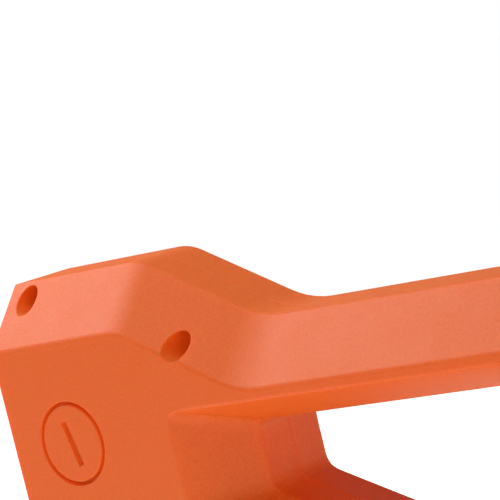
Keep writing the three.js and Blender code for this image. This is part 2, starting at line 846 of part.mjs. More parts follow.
// the end of a shaft from its last bearing out, stepped down to carry a pulley
function pulleySeat(radius) {
  const seat = radius - seatStep;
  const start = pulleyLow - touch;
  const end = pulleyHigh + 1;
  return [[radius, start], [seat, start], [seat, end], [0, end]];
}

function jackShaft() {
  return turned([[0, -innerPillar.high], [jackRadius, -innerPillar.high], ...pulleySeat(jackRadius)], 24);
}

function driveShaft() {
  const shoulder = -armInner + touch;
  const pivot = [[0, -armOuter], [drivePivotRadius, -armOuter], [drivePivotRadius, shoulder]];
  return turned([...pivot, [driveShaftRadius, shoulder], ...pulleySeat(driveShaftRadius)], 24);
}

function rollerCore() {
  return ringY(rollerRadius - tyreThickness - touch, driveShaftRadius + touch, -rollerHalf, rollerHalf, 40);
}

function rollerTyre() {
  return ringY(rollerRadius, rollerRadius - tyreThickness, -rollerHalf, rollerHalf, 44);
}

function frontRoller() {
  const bore = frontAxleRadius + touch;
  const end = rollerRadius - crown;
  const shoulder = rollerHalf * 0.55;
  const middle = [[rollerRadius, -shoulder], [rollerRadius, shoulder]];
  const crowned = [[end, -rollerHalf], ...middle, [end, rollerHalf]];
  return turned([[bore, -rollerHalf], ...crowned, [bore, rollerHalf], [bore, -rollerHalf]], 40);
}

function frontAxle() {
  const radius = frontAxleRadius;
  return turned([[0, -armOuter], [radius, -armOuter], [radius, armOuter], [0, armOuter]], 24);
}

function sandingBelt() {
  const rear = { x: driveX, z: axisZ, radius: beltInner };
  const front = { x: frontX, z: axisZ, radius: beltInner };
  const half = beltWidth / 2;
  const outer = prismY(hullOutline(rear, front, beltThickness), -half, half);
  return cut(outer, prismY(hullOutline(rear, front), -half - 1, half + 1));
}

// ---------- chassis ----------
function deckPlate() {
  const half = beltWidth / 2;
  const { rear, front } = deckCorner;
  const plan = rounded([
    [deckRear, -half, rear],
    [deckFront, -half, front],
    [deckFront, sideWallOuter, front],
    [deckRear, sideWallOuter, rear],
  ]);
  const shape = new THREE.Shape(plan);
  const geometry = new THREE.ExtrudeGeometry(shape, { depth: deckThickness, bevelEnabled: false });
  geometry.translate(0, 0, deckLow);
  const slotAcross = [-hoodHalf + 5, hoodHalf - 5];
  const dustSlot = box([hoodRear + hoodWall + 1, hoodRear + 14], slotAcross, [deckLow - 1, deckHigh + 1]);
  return cut(solid(geometry), dustSlot);
}

function sideWallPlate() {
  const outline = hullOutline(
    { x: driveX, z: axisZ, radius: driveBearing.outer + 4 },
    { x: beamFront, z: axisZ, radius: driveBearing.outer - 1 },
  );
  const skirt = box([driveX - 8, frontX - 14], [sideWallInner, sideWallOuter], [axisZ, deckHigh]);
  return join(prismY(outline, sideWallInner, sideWallOuter), skirt);
}

function beamBody() {
  const near = -beltWidth / 2 + 2;
  const beam = box([beamRear, beamFront], [near, sideWallOuter - 1], [beamLow, beamTop]);
  const depth = [beamLow + beamWall, beamTop + 1];
  const yokePocket = box([pocketRear, beamFront + 1], [-pocketHalf, pocketHalf], depth);
  const sidePocket = (low, high) => box([beamRear + beamWall, beamFront - beamWall], [low, high], depth);
  const rearPocket = box([beamRear + beamWall, pocketRear - beamWall], [-pocketHalf, pocketHalf], depth);
  return cut(
    beam,
    yokePocket,
    rearPocket,
    sidePocket(near + beamWall, -pocketHalf - beamWall),
    sidePocket(pocketHalf + beamWall, sideWallInner - beamWall),
  );
}

function pivotArm() {
  const arm = box([driveX, beamRear + 1], [-armOuter, -armInner], [axisZ - 7, axisZ + 7]);
  return join(arm, rodY(pivotBearing.outer + 3, -armOuter, -armInner, driveX, axisZ, 32));
}

function jackTower() {
  const reach = jackBearing.outer + 3;
  const base = (low, high) => box([motorX - reach, motorX + reach], [low, high], [deckHigh - 1, jackZ]);
  const cheek = (low, high) => join(base(low, high), rodY(reach, low, high, motorX, jackZ, 36));
  return join(cheek(towerInner, sideWallOuter), cheek(-innerPillar.high, -innerPillar.low));
}

function chassisBores() {
  const clear = touch;
  const pillarEnd = -innerPillar.high;
  return [
    rodY(driveBearing.outer + clear, sideWallInner + touch, bossOuter + 1, driveX, axisZ, 40),
    rodY(driveBearing.outer - 2, sideWallInner - 1, bossOuter, driveX, axisZ, 32),
    rodY(pivotBearing.outer + clear, -armOuter - 1, -armInner + 1, driveX, axisZ, 32),
    rodY(jackBearing.outer + clear, bossOuter - jackBearing.width - clear, bossOuter + 1, motorX, jackZ, 36),
    rodY(jackRadius + 1, pillarEnd - 1, bossOuter, motorX, jackZ, 24),
    rodY(jackBearing.outer + clear, pillarEnd - 1, pillarEnd + jackBearing.width, motorX, jackZ, 36),
    rodY(knobShaftRadius + clear, pocketHalf - 1, sideWallOuter + 1, knobX, axisZ, 20),
    rodY(leverPinRadius + clear, -beltWidth, -beltWidth / 2 + beamWall + 4, leverPivotX, axisZ, 20),
    rodY(coverScrew.radius + clear, sideWallInner - 1, bossOuter + 1, coverScrew.x, coverScrew.z, 16),
  ];
}

function chassis() {
  const bosses = join(
    rodY(driveBearing.outer + 3, sideWallInner, bossOuter, driveX, axisZ, 40),
    rodY(jackBearing.outer + 2.5, sideWallInner, bossOuter, motorX, jackZ, 36),
  );
  const body = join(deckPlate(), sideWallPlate(), beamBody(), pivotArm(), jackTower(), bosses);
  return cut(body, ...chassisBores());
}

function platenPlate() {
  const half = beltWidth / 2;
  const low = beamLow - touch - platenThickness;
  return box([beamRear - 3, beamFront + 3], [-half, half], [low, low + platenThickness]);
}

function platenPad() {
  const half = beltWidth / 2;
  const low = beltThickness + touch;
  return box([beamRear - 3, beamFront + 3], [-half, half], [low, low + padThickness]);
}

function yokeBody() {
  const depth = [yokeLow, yokeHigh - 2];
  const bar = box([barRear, barRear + barThickness], [-armOuter, armOuter], depth);
  const stem = box([stemRear, barRear + 1], [-stemHalf, stemHalf], depth);
  const arm = (side) => {
    const ends = span(side, armInner, armOuter);
    const plate = box([barRear, frontX], ends, [axisZ - 7, axisZ + 7]);
    return join(plate, rodY(8, ...ends, frontX, axisZ, 32));
  };
  const reach = armInner + drillOver * 2;
  const bore = rodY(frontAxleRadius + touch, -reach, reach, frontX, axisZ, 24);
  return cut(join(bar, stem, arm(-1), arm(1)), bore);
}

function tensionSpring() {
  const geometry = coil({ ...tensionCoil, low: pocketRear + touch, high: stemRear - touch });
  geometry.rotateZ(-Math.PI / 2);
  geometry.translate(0, 0, (yokeLow + yokeHigh) / 2);
  return geometry;
}

// ---------- levers, knobs and covers ----------
function tensionLever() {
  const low = leverOuter;
  const high = leverOuter + leverThickness;
  const bar = prismY(
    hullOutline({ x: 0, z: 0, radius: 8 }, { x: -leverLength, z: 3, radius: 5 }),
    low,
    high,
  );
  const lip = rodY(3.5, low - 5, low + 1, -leverLength, 3, 20);
  return cut(join(bar, lip), rodY(leverPinRadius + touch, low - 1, high + 1, 0, 0, 24));
}

function leverPin() {
  const head = rodY(5, leverOuter - 2, leverOuter - touch, leverPivotX, axisZ, 24);
  const end = -beltWidth / 2 + beamWall + 2;
  return join(head, rodY(leverPinRadius, leverOuter - 1, end, leverPivotX, axisZ, 24));
}

function trackingKnob() {
  const ribs = 14;
  const pitch = 360 / ribs;
  const shape = { root: knobRadius - 0.8, tip: knobRadius, rootHalf: pitch * 0.3, tipHalf: pitch * 0.2 };
  const outline = toothedOutline({ teeth: ribs, ...shape });
  const grip = prismY(outline, sideWallOuter + 1, sideWallOuter + 12);
  return join(grip, rodY(knobShaftRadius, stemHalf + touch, sideWallOuter + 2, 0, 0, 20));
}

function beltCover() {
  const lower = { x: driveX, z: axisZ, radius: driveBearing.outer + 5 };
  const upper = { x: motorX, z: jackZ, radius: jackBearing.outer + 5 };
  const outer = prismY(hullOutline(lower, upper, coverWall), sideWallOuter + touch, coverHigh);
  const inner = prismY(hullOutline(lower, upper), sideWallOuter - 1, coverHigh - coverWall);
  const post = rodY(4, sideWallOuter + touch, coverHigh - 1, coverScrew.x, coverScrew.z, 24);
  const hole = rodY(coverScrew.radius + touch, sideWallInner, coverHigh + 1, coverScrew.x, coverScrew.z, 16);
  return cut(join(cut(outer, inner), post), hole);
}

function coverScrewBody() {
  const { x, z, radius } = coverScrew;
  const head = rodY(3.6, coverHigh + touch, coverHigh + 2.6, x, z, 24);
  const slot = box([x - 2.8, x + 2.8], [coverHigh + 1.6, coverHigh + 3], [z - 0.4, z + 0.4]);
  return cut(join(head, rodY(radius, sideWallInner, coverHigh + 1, x, z, 16)), slot);
}

function triggerBody() {
  const low = openingTop - triggerReach;
  const high = openingTop + 1;
  const front = triggerX + triggerLength;
  const outline = rounded([
    [triggerX, high], [triggerX, low + 6, 6], [triggerX + 7, low, 4], [front - 8, low + 3, 8], [front, high],
  ]);
  const flangeLow = openingTop + wall + touch;
  const stemHigh = switchLow - triggerTravel - touch;
  const stem = box([triggerX + 4, front - 4], [-triggerHalf + 2, triggerHalf - 2], [high - 1, stemHigh]);
  const flange = box([triggerX - 2, front + 2], [-triggerHalf, triggerHalf], [flangeLow, flangeLow + 1.6]);
  return join(prismY(outline, -triggerHalf, triggerHalf), stem, flange);
}

function switchBody() {
  const across = [-topFlatHalf + 2, topFlatHalf - 2];
  return box([triggerX - 5, triggerX + triggerLength - 4], across, [switchLow, handleTop - wall - touch]);
}

function lockButton() {
  return rodY(lockRadius, lockInset - halfWidth, -lockTravel * 3 - 1, lockX, lockZ, 28);
}

function speedDial() {
  const ribs = 18;
  const pitch = 360 / ribs;
  const shape = { root: dialRadius - 0.5, tip: dialRadius, rootHalf: pitch * 0.32, tipHalf: pitch * 0.2 };
  const outline = toothedOutline({ teeth: ribs, ...shape });
  const pin = rodY(dialPinRadius, -dialHalf - 3.5, dialHalf + 3.5, 0, 0, 16);
  return join(prismY(outline, -dialHalf, dialHalf), pin);
}

function speedModule() {
  const floor = dialZ - dialRadius;
  const base = box([dialX - 8, dialX + 7], [-dialHalf - 5, dialHalf + 5], [floor - 4, floor - touch]);
  const ear = (side) => {
    const ends = span(side, dialHalf + touch, dialHalf + 3);
    return box([dialX - 2.5, dialX + 2.5], ends, [floor - 1, dialZ + 1.8]);
  };
  const bore = rodY(dialPinRadius + touch, -halfWidth, halfWidth, dialX, dialZ, 16);
  return cut(join(base, ear(-1), ear(1)), bore);
}

function hoodOutline(inset) {
  const front = -touch * 2 - inset;
  return rounded([
    [hoodRear + inset, housingLow - (inset ? drillOver : 0)],
    [hoodRear + inset, housingLow + hoodHeight - 8 - inset, 5],
    [hoodRear + 9 + inset * 0.4, housingLow + hoodHeight - inset, 5],
    [front, housingLow + hoodHeight - inset],
    [front, housingLow - (inset ? drillOver : 0)],
  ]);
}

function dustHood() {
  const shell = prismY(hoodOutline(0), -hoodHalf, hoodHalf);
  const spigot = rodX(spigotRadius, hoodRear - spigotLength, hoodRear + 1, 0, spigotZ, 40);
  const lip = rodX(spigotRadius + 1, hoodRear - spigotLength, hoodRear - spigotLength + 2.5, 0, spigotZ, 40);
  const hollow = prismY(hoodOutline(hoodWall), -hoodHalf + hoodWall, hoodHalf - hoodWall);
  const bore = rodX(spigotRadius - hoodWall, hoodRear - spigotLength - 1, hoodRear + 5, 0, spigotZ, 40);
  return cut(join(shell, spigot, lip), hollow, bore);
}

function cordGland() {
  const glandSides = 20;
  const cordRadius = 3.2;
  const root = rodX(glandRadius, -glandLength, -touch, 0, glandZ, glandSides);
  const neck = rodX(glandRadius - drillOver, -1, wall + touch * 2, 0, glandZ, glandSides);
  const flange = rodX(glandRadius, wall + touch, wall + 2, 0, glandZ, glandSides);
  const groove = (at) => {
    const ring = rodX(glandRadius + 1, at, at + 1.2, 0, glandZ, glandSides);
    return cut(ring, rodX(glandRadius - 1.2, at - 1, at + 3, 0, glandZ, glandSides));
  };
  const bore = rodX(cordRadius, -glandLength - 1, wall + 3, 0, glandZ, glandSides);
  return cut(join(root, neck, flange), groove(-5), groove(-9), bore);
}

// ---------- the whole tool ----------
function placeHousing() {
  place('housing_near', housingHalf(-1), orange);
  place('housing_far', housingHalf(1), orange);
  screwSpots.forEach((spot, index) => place(`housing_screw_${index + 1}`, housingScrew(spot), steel));
  place('cord_gland', cordGland(), rubber);
}

function placeMotor() {
  const upright = groupAt(motorX, 0, 0);
  brushGear(-1);
  brushGear(1);
  place('stator_core', statorCore(), steel, upright);
  place('field_coil_rear', fieldCoil(-1), copper, upright);
  place('field_coil_front', fieldCoil(1), copper, upright);
  place('armature_shaft', armatureShaft(), steel, upright);
  place('armature_core', armatureCore(), steel, upright);
  place('winding_upper', windingEnd(statorHigh + touch, commutatorLow - touch), copper, upright);
  place('commutator', commutatorBody(), copper, upright);
  place('motor_fan', motorFan(), black, upright);
  place('motor_bearing_upper', motorBearing(brushBearing, upperBearingLow), steel, upright);
  place('motor_bearing_lower', motorBearing(lowerBearing, lowerBearingLow), steel, upright);
}

function placeTransmission() {
  const gears = groupAt(motorX, 0, jackZ);
  place('bevel_pinion', bevelPinion(), steel, gears);
  place('bevel_gear', bevelGear(), steel, gears);
  place('jack_shaft', jackShaft(), steel, gears);
  const bore = jackRadius + touch;
  place('jack_bearing_inner', bearing(jackBearing, bore, -innerPillar.high), steel, gears);
  place('jack_bearing_outer', bearing(jackBearing, bore, bossOuter - jackBearing.width), steel, gears);
  place('small_pulley', pulley(smallPulleyTeeth, smallPulleyRadius, jackRadius - seatStep), steel, gears);
  place('timing_belt', timingBelt(), rubber);
}

function placeRollers() {
  const rear = groupAt(driveX, 0, axisZ);
  place('drive_shaft', driveShaft(), steel, rear);
  place('drive_roller', rollerCore(), castMetal, rear);
  place('drive_roller_tyre', rollerTyre(), rubber, rear);
  const pulleyBore = driveShaftRadius - seatStep;
  place('large_pulley', pulley(largePulleyTeeth, largePulleyRadius, pulleyBore), steel, rear);
  const outerLow = bossOuter - driveBearing.width;
  place('drive_bearing_outer', bearing(driveBearing, driveShaftRadius + touch, outerLow), steel, rear);
  place('drive_bearing_inner', bearing(pivotBearing, drivePivotRadius + touch, -armOuter), steel, rear);
  const front = groupAt(frontX, 0, axisZ);
  place('front_roller', frontRoller(), castMetal, front);
  place('front_axle', frontAxle(), steel, front);
  place('sanding_belt', sandingBelt(), grit);
}

function placeChassis() {
  place('chassis', chassis(), castMetal);
  place('platen', platenPlate(), steel);
  place('platen_pad', platenPad(), felt);
  place('yoke', yokeBody(), castMetal);
  place('tension_spring', tensionSpring(), steel);
  const pivot = groupAt(leverPivotX, 0, axisZ);
  place('tension_lever', tensionLever(), black, pivot);
  place('lever_pin', leverPin(), steel);
  place('tracking_knob', trackingKnob(), black, groupAt(knobX, 0, axisZ));
  place('belt_cover', beltCover(), black);
  place('cover_screw', coverScrewBody(), steel);
  place('dust_hood', dustHood(), black);
}

function placeControls() {
  place('trigger', triggerBody(), black);
  place('switch_body', switchBody(), black);
  place('lock_button', lockButton(), black);
  place('speed_dial', speedDial(), black, groupAt(dialX, 0, dialZ));
  place('speed_module', speedModule(), black);
}

placeHousing();
placeMotor();
placeTransmission();
placeRollers();
placeChassis();
placeControls();

export default object;
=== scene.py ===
"""Looks of a handheld belt sander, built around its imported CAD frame.

Every piece is made in metres in the frame's own axes: +X runs forward along the handle, +Z is up
and the belt's sole lies at z = 0. Each sub-assembly is a class that makes its pieces and dresses
the CAD nodes that it keeps.
"""
import json
import logging
import math
from dataclasses import dataclass, field
from enum import Enum
from typing import Callable, Sequence

import bmesh
import bpy
from mathutils import Matrix, Vector
from mathutils.bvhtree import BVHTree


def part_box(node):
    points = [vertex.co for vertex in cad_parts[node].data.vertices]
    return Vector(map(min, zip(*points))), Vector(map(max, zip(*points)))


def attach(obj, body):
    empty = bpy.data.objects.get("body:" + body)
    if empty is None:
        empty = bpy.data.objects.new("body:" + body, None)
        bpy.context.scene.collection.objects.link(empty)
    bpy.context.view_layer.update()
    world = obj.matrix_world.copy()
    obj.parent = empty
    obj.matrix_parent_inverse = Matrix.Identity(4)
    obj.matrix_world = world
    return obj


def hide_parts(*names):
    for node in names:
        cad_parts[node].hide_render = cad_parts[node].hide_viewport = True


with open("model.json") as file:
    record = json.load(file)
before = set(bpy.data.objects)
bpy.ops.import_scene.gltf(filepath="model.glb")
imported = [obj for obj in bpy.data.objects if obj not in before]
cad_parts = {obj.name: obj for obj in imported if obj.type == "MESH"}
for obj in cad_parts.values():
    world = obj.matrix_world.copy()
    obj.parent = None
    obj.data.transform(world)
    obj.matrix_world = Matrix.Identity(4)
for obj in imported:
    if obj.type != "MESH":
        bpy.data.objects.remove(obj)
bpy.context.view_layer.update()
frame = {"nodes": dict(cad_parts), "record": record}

MM = 0.001
BODY = "frame"
Colour = tuple[float, float, float]
Socket = bpy.types.NodeSocket
Piece = bpy.types.Object
JOIN_REACH = 0.004 * MM  # corners nearer than this are one corner
RULE_JOIN_REACH = 0.001 * MM  # the same, for what the rules make
FLAT_ANGLE = math.radians(1.2)  # faces that turn by less are one flat face
SHARP_ANGLE = math.radians(35)  # edges that turn by more are shaded sharp
log = logging.getLogger("belt_sander")


# ---------------------------------------------------------------- materials
class Slot(Enum):
    """The record's material slots."""

    ORANGE = "orange_housing"
    BLACK = "black_plastic"
    RUBBER = "black_rubber"
    TYRE = "roller_rubber"
    CAST = "cast_aluminium"
    STEEL = "steel"
    COPPER = "copper"
    CARBON = "carbon"
    GRIT = "abrasive_cloth"
    FELT = "graphite_felt"


class Shader:
    """A node material while it is being wired."""

    def __init__(self, name: str) -> None:
        """Starts an empty material.

        Args:
            name: the material's name.
        """
        self.material = bpy.data.materials.new(name)
        self.material.use_nodes = True
        self.tree = self.material.node_tree
        self.tree.nodes.clear()
        self.output = self.tree.nodes.new("ShaderNodeOutputMaterial")
        self.surface = self.tree.nodes.new("ShaderNodeBsdfPrincipled")
        self.link(self.surface.outputs["BSDF"], self.output.inputs["Surface"])
        self.coordinates = self.tree.nodes.new("ShaderNodeTexCoord")

    def link(self, source: Socket, target: Socket) -> None:
        """Wires one socket to another."""
        self.tree.links.new(source, target)

    def set(self, **values: float | Sequence[float]) -> None:
        """Sets constants on the surface shader.

        Args:
            values: socket names, with _ standing for a space, and their values.
        """
        for name, value in values.items():
            self.surface.inputs[name.replace("_", " ")].default_value = value

    def place(self, scale: Sequence[float]) -> Socket:
        """Gives object coordinates stretched along X, Y and Z, to feed a texture."""
        mapping = self.tree.nodes.new("ShaderNodeMapping")
        mapping.inputs["Scale"].default_value = scale
        self.link(self.coordinates.outputs["Object"], mapping.inputs["Vector"])
        return mapping.outputs["Vector"]

    def noise(self, size: float, detail: float = 2.0, rough: float = 0.5,
              vector: Socket | None = None) -> Socket:
        """Adds a noise field.

        Args:
            size: width of its coarsest blotch in metres.
            detail: how many finer layers it has.
            rough: strength of the finer layers.
            vector: coordinates, or None for plain object coordinates.

        Returns:
            The field, from 0 to 1.
        """
        node = self.tree.nodes.new("ShaderNodeTexNoise")
        node.inputs["Scale"].default_value = 1 / size
        node.inputs["Detail"].default_value = detail
        node.inputs["Roughness"].default_value = rough
        self.link(vector or self.coordinates.outputs["Object"], node.inputs["Vector"])
        return node.outputs["Fac"]

    def cells(self, size: float) -> Socket:
        """Adds a field of cells and returns the distance from each cell's centre."""
        node = self.tree.nodes.new("ShaderNodeTexVoronoi")
        node.feature = "F1"
        node.inputs["Scale"].default_value = 1 / size
        self.link(self.coordinates.outputs["Object"], node.inputs["Vector"])
        return node.outputs["Distance"]

    def paint(self, source: Socket, *stops: tuple[float, Colour]) -> None:
        """Colours the surface by a field, with pairs of position and colour."""
        self.link(self.ramp(source, stops), self.surface.inputs["Base Color"])

    def roughen(self, source: Socket, low: float, high: float,
                start: float = 0.3, stop: float = 0.7) -> None:
        """Sets the surface's roughness by a field, as span does."""
        self.link(self.span(source, low, high, start, stop), self.surface.inputs["Roughness"])

    def ramp(self, source: Socket, stops: Sequence[tuple[float, Colour]]) -> Socket:
        """Turns a field into a colour.

        Args:
            source: the field.
            stops: pairs of position and colour.

        Returns:
            The colour socket.
        """
        node = self.tree.nodes.new("ShaderNodeValToRGB")
        elements = node.color_ramp.elements
        while len(elements) < len(stops):
            elements.new(0.5)
        for element, (position, colour) in zip(elements, stops):
            element.position = position
            element.color = (*colour, 1)
        self.link(source, node.inputs["Fac"])
        return node.outputs["Color"]

    def span(self, source: Socket, low: float, high: float,
             start: float = 0.3, stop: float = 0.7) -> Socket:
        """Maps a field's start..stop onto low..high and returns the result."""
        node = self.tree.nodes.new("ShaderNodeMapRange")
        limits = {"From Min": start, "From Max": stop, "To Min": low, "To Max": high}
        for name, value in limits.items():
            node.inputs[name].default_value = value
        self.link(source, node.inputs["Value"])
        return node.outputs["Result"]

    def relief(self, heights: Sequence[tuple[Socket, float, float]]) -> None:
        """Stacks bumps on the surface.

        Args:
            heights: for each bump its height field, its strength and its depth in metres.
        """
        normal = None
        for height, strength, depth in heights:
            node = self.tree.nodes.new("ShaderNodeBump")
            node.inputs["Strength"].default_value = strength
            node.inputs["Distance"].default_value = depth
            self.link(height, node.inputs["Height"])
            if normal is not None:
                self.link(normal, node.inputs["Normal"])
            normal = node.outputs["Normal"]
        self.link(normal, self.surface.inputs["Normal"])


def scaled(colour: Colour, factor: float, lift: float = 0.0) -> Colour:
    """Gives a colour made brighter or darker, with no channel over 1."""
    return tuple(min(1.0, channel * factor + lift) for channel in colour)


@dataclass(frozen=True)
class SparkedPlastic:
    """Moulded plastic with a fine spark-eroded grain.

    The glow is light that travels under the surface. The hollow glow is painted light: the plastic
    emits its own dark colour in hollows, which stands for what its walls throw at each other.
    """

    name: str
    light: Colour
    dark: Colour
    roughness: float = 0.56
    grain: float = 0.42 * MM
    depth: float = 0.09 * MM
    strength: float = 0.9
    glow: float = 0.0
    glow_reach: float = 4 * MM
    glow_radius: Sequence[float] = (1.0, 0.25, 0.06)
    hollow_glow: float = 0.0
    hollow_reach: float = 22 * MM
    speck_ratio: float = 1.3
    speck_band: tuple[float, float] = (0.36, 0.64)
    patch: float = 9 * MM

    def build(self) -> bpy.types.Material:
        """Builds the material."""
        shader = Shader(self.name)
        shader.set(Specular_IOR_Level=0.33, Subsurface_Weight=self.glow,
                   Subsurface_Radius=self.glow_radius, Subsurface_Scale=self.glow_reach)
        speck = shader.noise(self.grain * self.speck_ratio, 2, 0.6)
        dark_stop, light_stop = self.speck_band
        shader.paint(speck, (dark_stop, self.dark), (light_stop, self.light))
        # painted light: emission in the plastic's dark colour, strongest where the occlusion finds
        # a hollow
        if self.hollow_glow:
            hollow = shader.tree.nodes.new("ShaderNodeAmbientOcclusion")
            hollow.inputs["Distance"].default_value = self.hollow_reach
            shader.set(Emission_Color=(*self.dark, 1))
            shine = shader.span(hollow.outputs["AO"], self.hollow_glow, 0.0)
            shader.link(shine, shader.surface.inputs["Emission Strength"])
        shader.roughen(shader.noise(self.patch, 2), self.roughness - 0.01, self.roughness + 0.02)
        spark = shader.noise(self.grain, 1.5, 0.6)
        shader.relief([(spark, self.strength, self.depth)])
        return shader.material


@dataclass(frozen=True)
class Rubber:
    """Matt rubber with a faint bloom."""

    name: str
    colour: Colour
    grain: float = 0.3 * MM
    bloom: float = 12 * MM

    def build(self) -> bpy.types.Material:
        """Builds the material."""
        shader = Shader(self.name)
        shader.set(Specular_IOR_Level=0.35)
        bloom = shader.noise(self.bloom, 3)
        shader.paint(bloom, (0.35, self.colour), (0.8, scaled(self.colour, 1.5, 0.004)))
        shader.roughen(bloom, 0.7, 0.85)
        shader.relief([(shader.noise(self.grain, 2), 0.35, 0.02 * MM)])
        return shader.material


@dataclass(frozen=True)
class CastMetal:
    """Die-cast metal, shot blasted, in uneven patches with fine pits."""

    name: str
    colour: Colour
    roughness: float = 0.42
    patch: float = 16 * MM
    pit: float = 0.7 * MM
    wave: float = 6 * MM

    def build(self) -> bpy.types.Material:
        """Builds the material."""
        shader = Shader(self.name)
        shader.set(Metallic=1.0)
        cloud = shader.noise(self.patch, 4)
        shader.paint(cloud, (0.35, scaled(self.colour, 0.82)), (0.65, self.colour))
        shader.roughen(cloud, self.roughness + 0.08, self.roughness - 0.06)
        pits = shader.noise(self.pit, 3)
        shader.relief([(pits, 0.35, 0.05 * MM), (shader.noise(self.wave, 1), 0.1, 0.2 * MM)])
        return shader.material


@dataclass(frozen=True)
class TurnedMetal:
    """Machined metal with fine rings along one axis."""

    name: str
    colour: Colour
    roughness: float = 0.3
    streak: Sequence[float] = (1, 24, 1)
    ring: float = 2.4 * MM

    def build(self) -> bpy.types.Material:
        """Builds the material."""
        shader = Shader(self.name)
        shader.set(Metallic=1.0)
        lines = shader.noise(self.ring, 3, 0.6, shader.place(self.streak))
        shader.paint(lines, (0.3, scaled(self.colour, 0.85)), (0.7, self.colour))
        shader.roughen(lines, self.roughness + 0.1, self.roughness - 0.05)
        shader.relief([(lines, 0.2, 0.02 * MM)])
        return shader.material


@dataclass(frozen=True)
class WoundCopper:
    """Varnished copper wire laid side by side."""

    name: str
    colour: Colour
    wire: float = 0.8 * MM
    lay: Sequence[float] = (1, 1, 12)

    def build(self) -> bpy.types.Material:
        """Builds the material."""
        shader = Shader(self.name)
        shader.set(Metallic=0.85, Coat_Weight=0.4, Coat_Roughness=0.2)
        wire = shader.noise(self.wire, 1, 0.5, shader.place(self.lay))
        shader.paint(wire, (0.35, scaled(self.colour, 0.5)), (0.6, self.colour))
        shader.roughen(wire, 0.5, 0.3)
        shader.relief([(wire, 0.6, 0.1 * MM)])
        return shader.material


@dataclass(frozen=True)
class Abrasive:
    """Aluminium oxide grit glued to cloth."""

    name: str
    grit: Colour
    resin: Colour
    grain: float = 0.55 * MM
    wave: float = 5 * MM

    def build(self) -> bpy.types.Material:
        """Builds the material."""
        shader = Shader(self.name)
        shader.set(Specular_IOR_Level=0.6)
        grains = shader.cells(self.grain)
        bright = scaled(self.grit, 1.7, 0.03)
        shader.paint(grains, (0.05, bright), (0.3, self.grit), (0.75, self.resin))
        shader.roughen(grains, 0.45, 0.9, 0.0, 0.6)
        lumps = shader.span(grains, 1.0, 0.0, 0.0, 0.7)
        shader.relief([(lumps, 0.8, 0.18 * MM), (shader.noise(self.wave, 2), 0.2, 0.2 * MM)])
        return shader.material


@dataclass(frozen=True)
class Felt:
    """Graphite-faced felt or pressed carbon."""

    name: str
    colour: Colour
    fibre: float = 0.9 * MM

    def build(self) -> bpy.types.Material:
        """Builds the material."""
        shader = Shader(self.name)
        shader.set(Sheen_Weight=0.25)
        fibre = shader.noise(self.fibre, 4, 0.7)
        shader.paint(fibre, (0.3, self.colour), (0.75, scaled(self.colour, 2.2)))
        shader.roughen(fibre, 0.95, 0.75)
        shader.relief([(fibre, 0.5, 0.08 * MM)])
        return shader.material


FINISHES = {
    # the orange plastic carries a painted glow in its hollows (hollow_glow)
    Slot.ORANGE: SparkedPlastic("orange_sparked_plastic", (0.725, 0.112, 0.0062),
                                (0.665, 0.093, 0.004), glow=0.5, hollow_glow=0.2),
    Slot.BLACK: SparkedPlastic("black_satin_plastic", (0.022, 0.022, 0.024),
                               (0.015, 0.015, 0.017), 0.46, 0.5 * MM),
    Slot.RUBBER: Rubber("black_rubber", (0.014, 0.014, 0.015)),
    Slot.TYRE: Rubber("ground_roller_rubber", (0.02, 0.02, 0.022), 0.5 * MM),
    Slot.CAST: CastMetal("cast_aluminium", (0.56, 0.57, 0.59)),
    Slot.STEEL: TurnedMetal("turned_steel", (0.58, 0.58, 0.6)),
    Slot.COPPER: WoundCopper("wound_copper", (0.72, 0.3, 0.13)),
    Slot.CARBON: Felt("pressed_carbon", (0.02, 0.02, 0.022)),
    Slot.GRIT: Abrasive("abrasive_cloth", (0.30, 0.085, 0.04), (0.10, 0.028, 0.018)),
    Slot.FELT: Felt("graphite_felt", (0.03, 0.03, 0.032)),
}


class Paints:
    """Builds each finish once and hands it out."""

    def __init__(self) -> None:
        """Starts with nothing built."""
        self.built: dict[Slot, bpy.types.Material] = {}

    def of(self, slot: Slot) -> bpy.types.Material:
        """Gives the material of a slot.

        Args:
            slot: the record's slot.

        Returns:
            The material.
        """
        if slot not in self.built:
            self.built[slot] = FINISHES[slot].build()
        return self.built[slot]

    def dress(self, slot: Slot, *nodes: str) -> None:
        """Puts a slot's material on CAD nodes that stay as they are."""
        for name in nodes:
            materials = frame["nodes"][name].data.materials
            materials.clear()
            materials.append(self.of(slot))


PAINTS = Paints()


# ---------------------------------------------------------------- making meshes
def span_of(node: str) -> tuple[Vector, Vector, Vector]:
    """Gives a CAD node's low corner, high corner and middle."""
    low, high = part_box(node)
    return low, high, (low + high) / 2


def new_object(name: str, mesh: bpy.types.Mesh) -> Piece:
    """Links a mesh into the scene under a name.

    Args:
        name: the piece's name.
        mesh: its mesh, in the frame's axes.

    Returns:
        The object, at the origin.
    """
    mesh.name = name
    piece = bpy.data.objects.new(name, mesh)
    bpy.context.scene.collection.objects.link(piece)
    return piece


def settle(piece: Piece) -> Piece:
    """Turns what the modifiers make into the piece's own mesh and removes them."""
    bpy.context.view_layer.update()
    seen = piece.evaluated_get(bpy.context.evaluated_depsgraph_get())
    mesh = bpy.data.meshes.new_from_object(seen)
    piece.modifiers.clear()
    old = piece.data
    piece.data = mesh
    bpy.data.meshes.remove(old)
    return piece


def finish_piece(piece: Piece, slot: Slot, body: str = BODY,
                 replaces: Sequence[str] = ()) -> None:
    """Gives a piece its material, its body and the CAD nodes that it stands for.

    Args:
        piece: the piece, with its final mesh.
        slot: its material slot.
        body: the CAD body that it rides on.
        replaces: CAD nodes that it hides.
    """
    if not piece.data.materials:
        piece.data.materials.append(PAINTS.of(slot))
    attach(piece, body)
    hidden = list(replaces)
    if hidden:
        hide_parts(*hidden)
    log.info("%s: %d faces on %s", piece.name, len(piece.data.polygons), body)


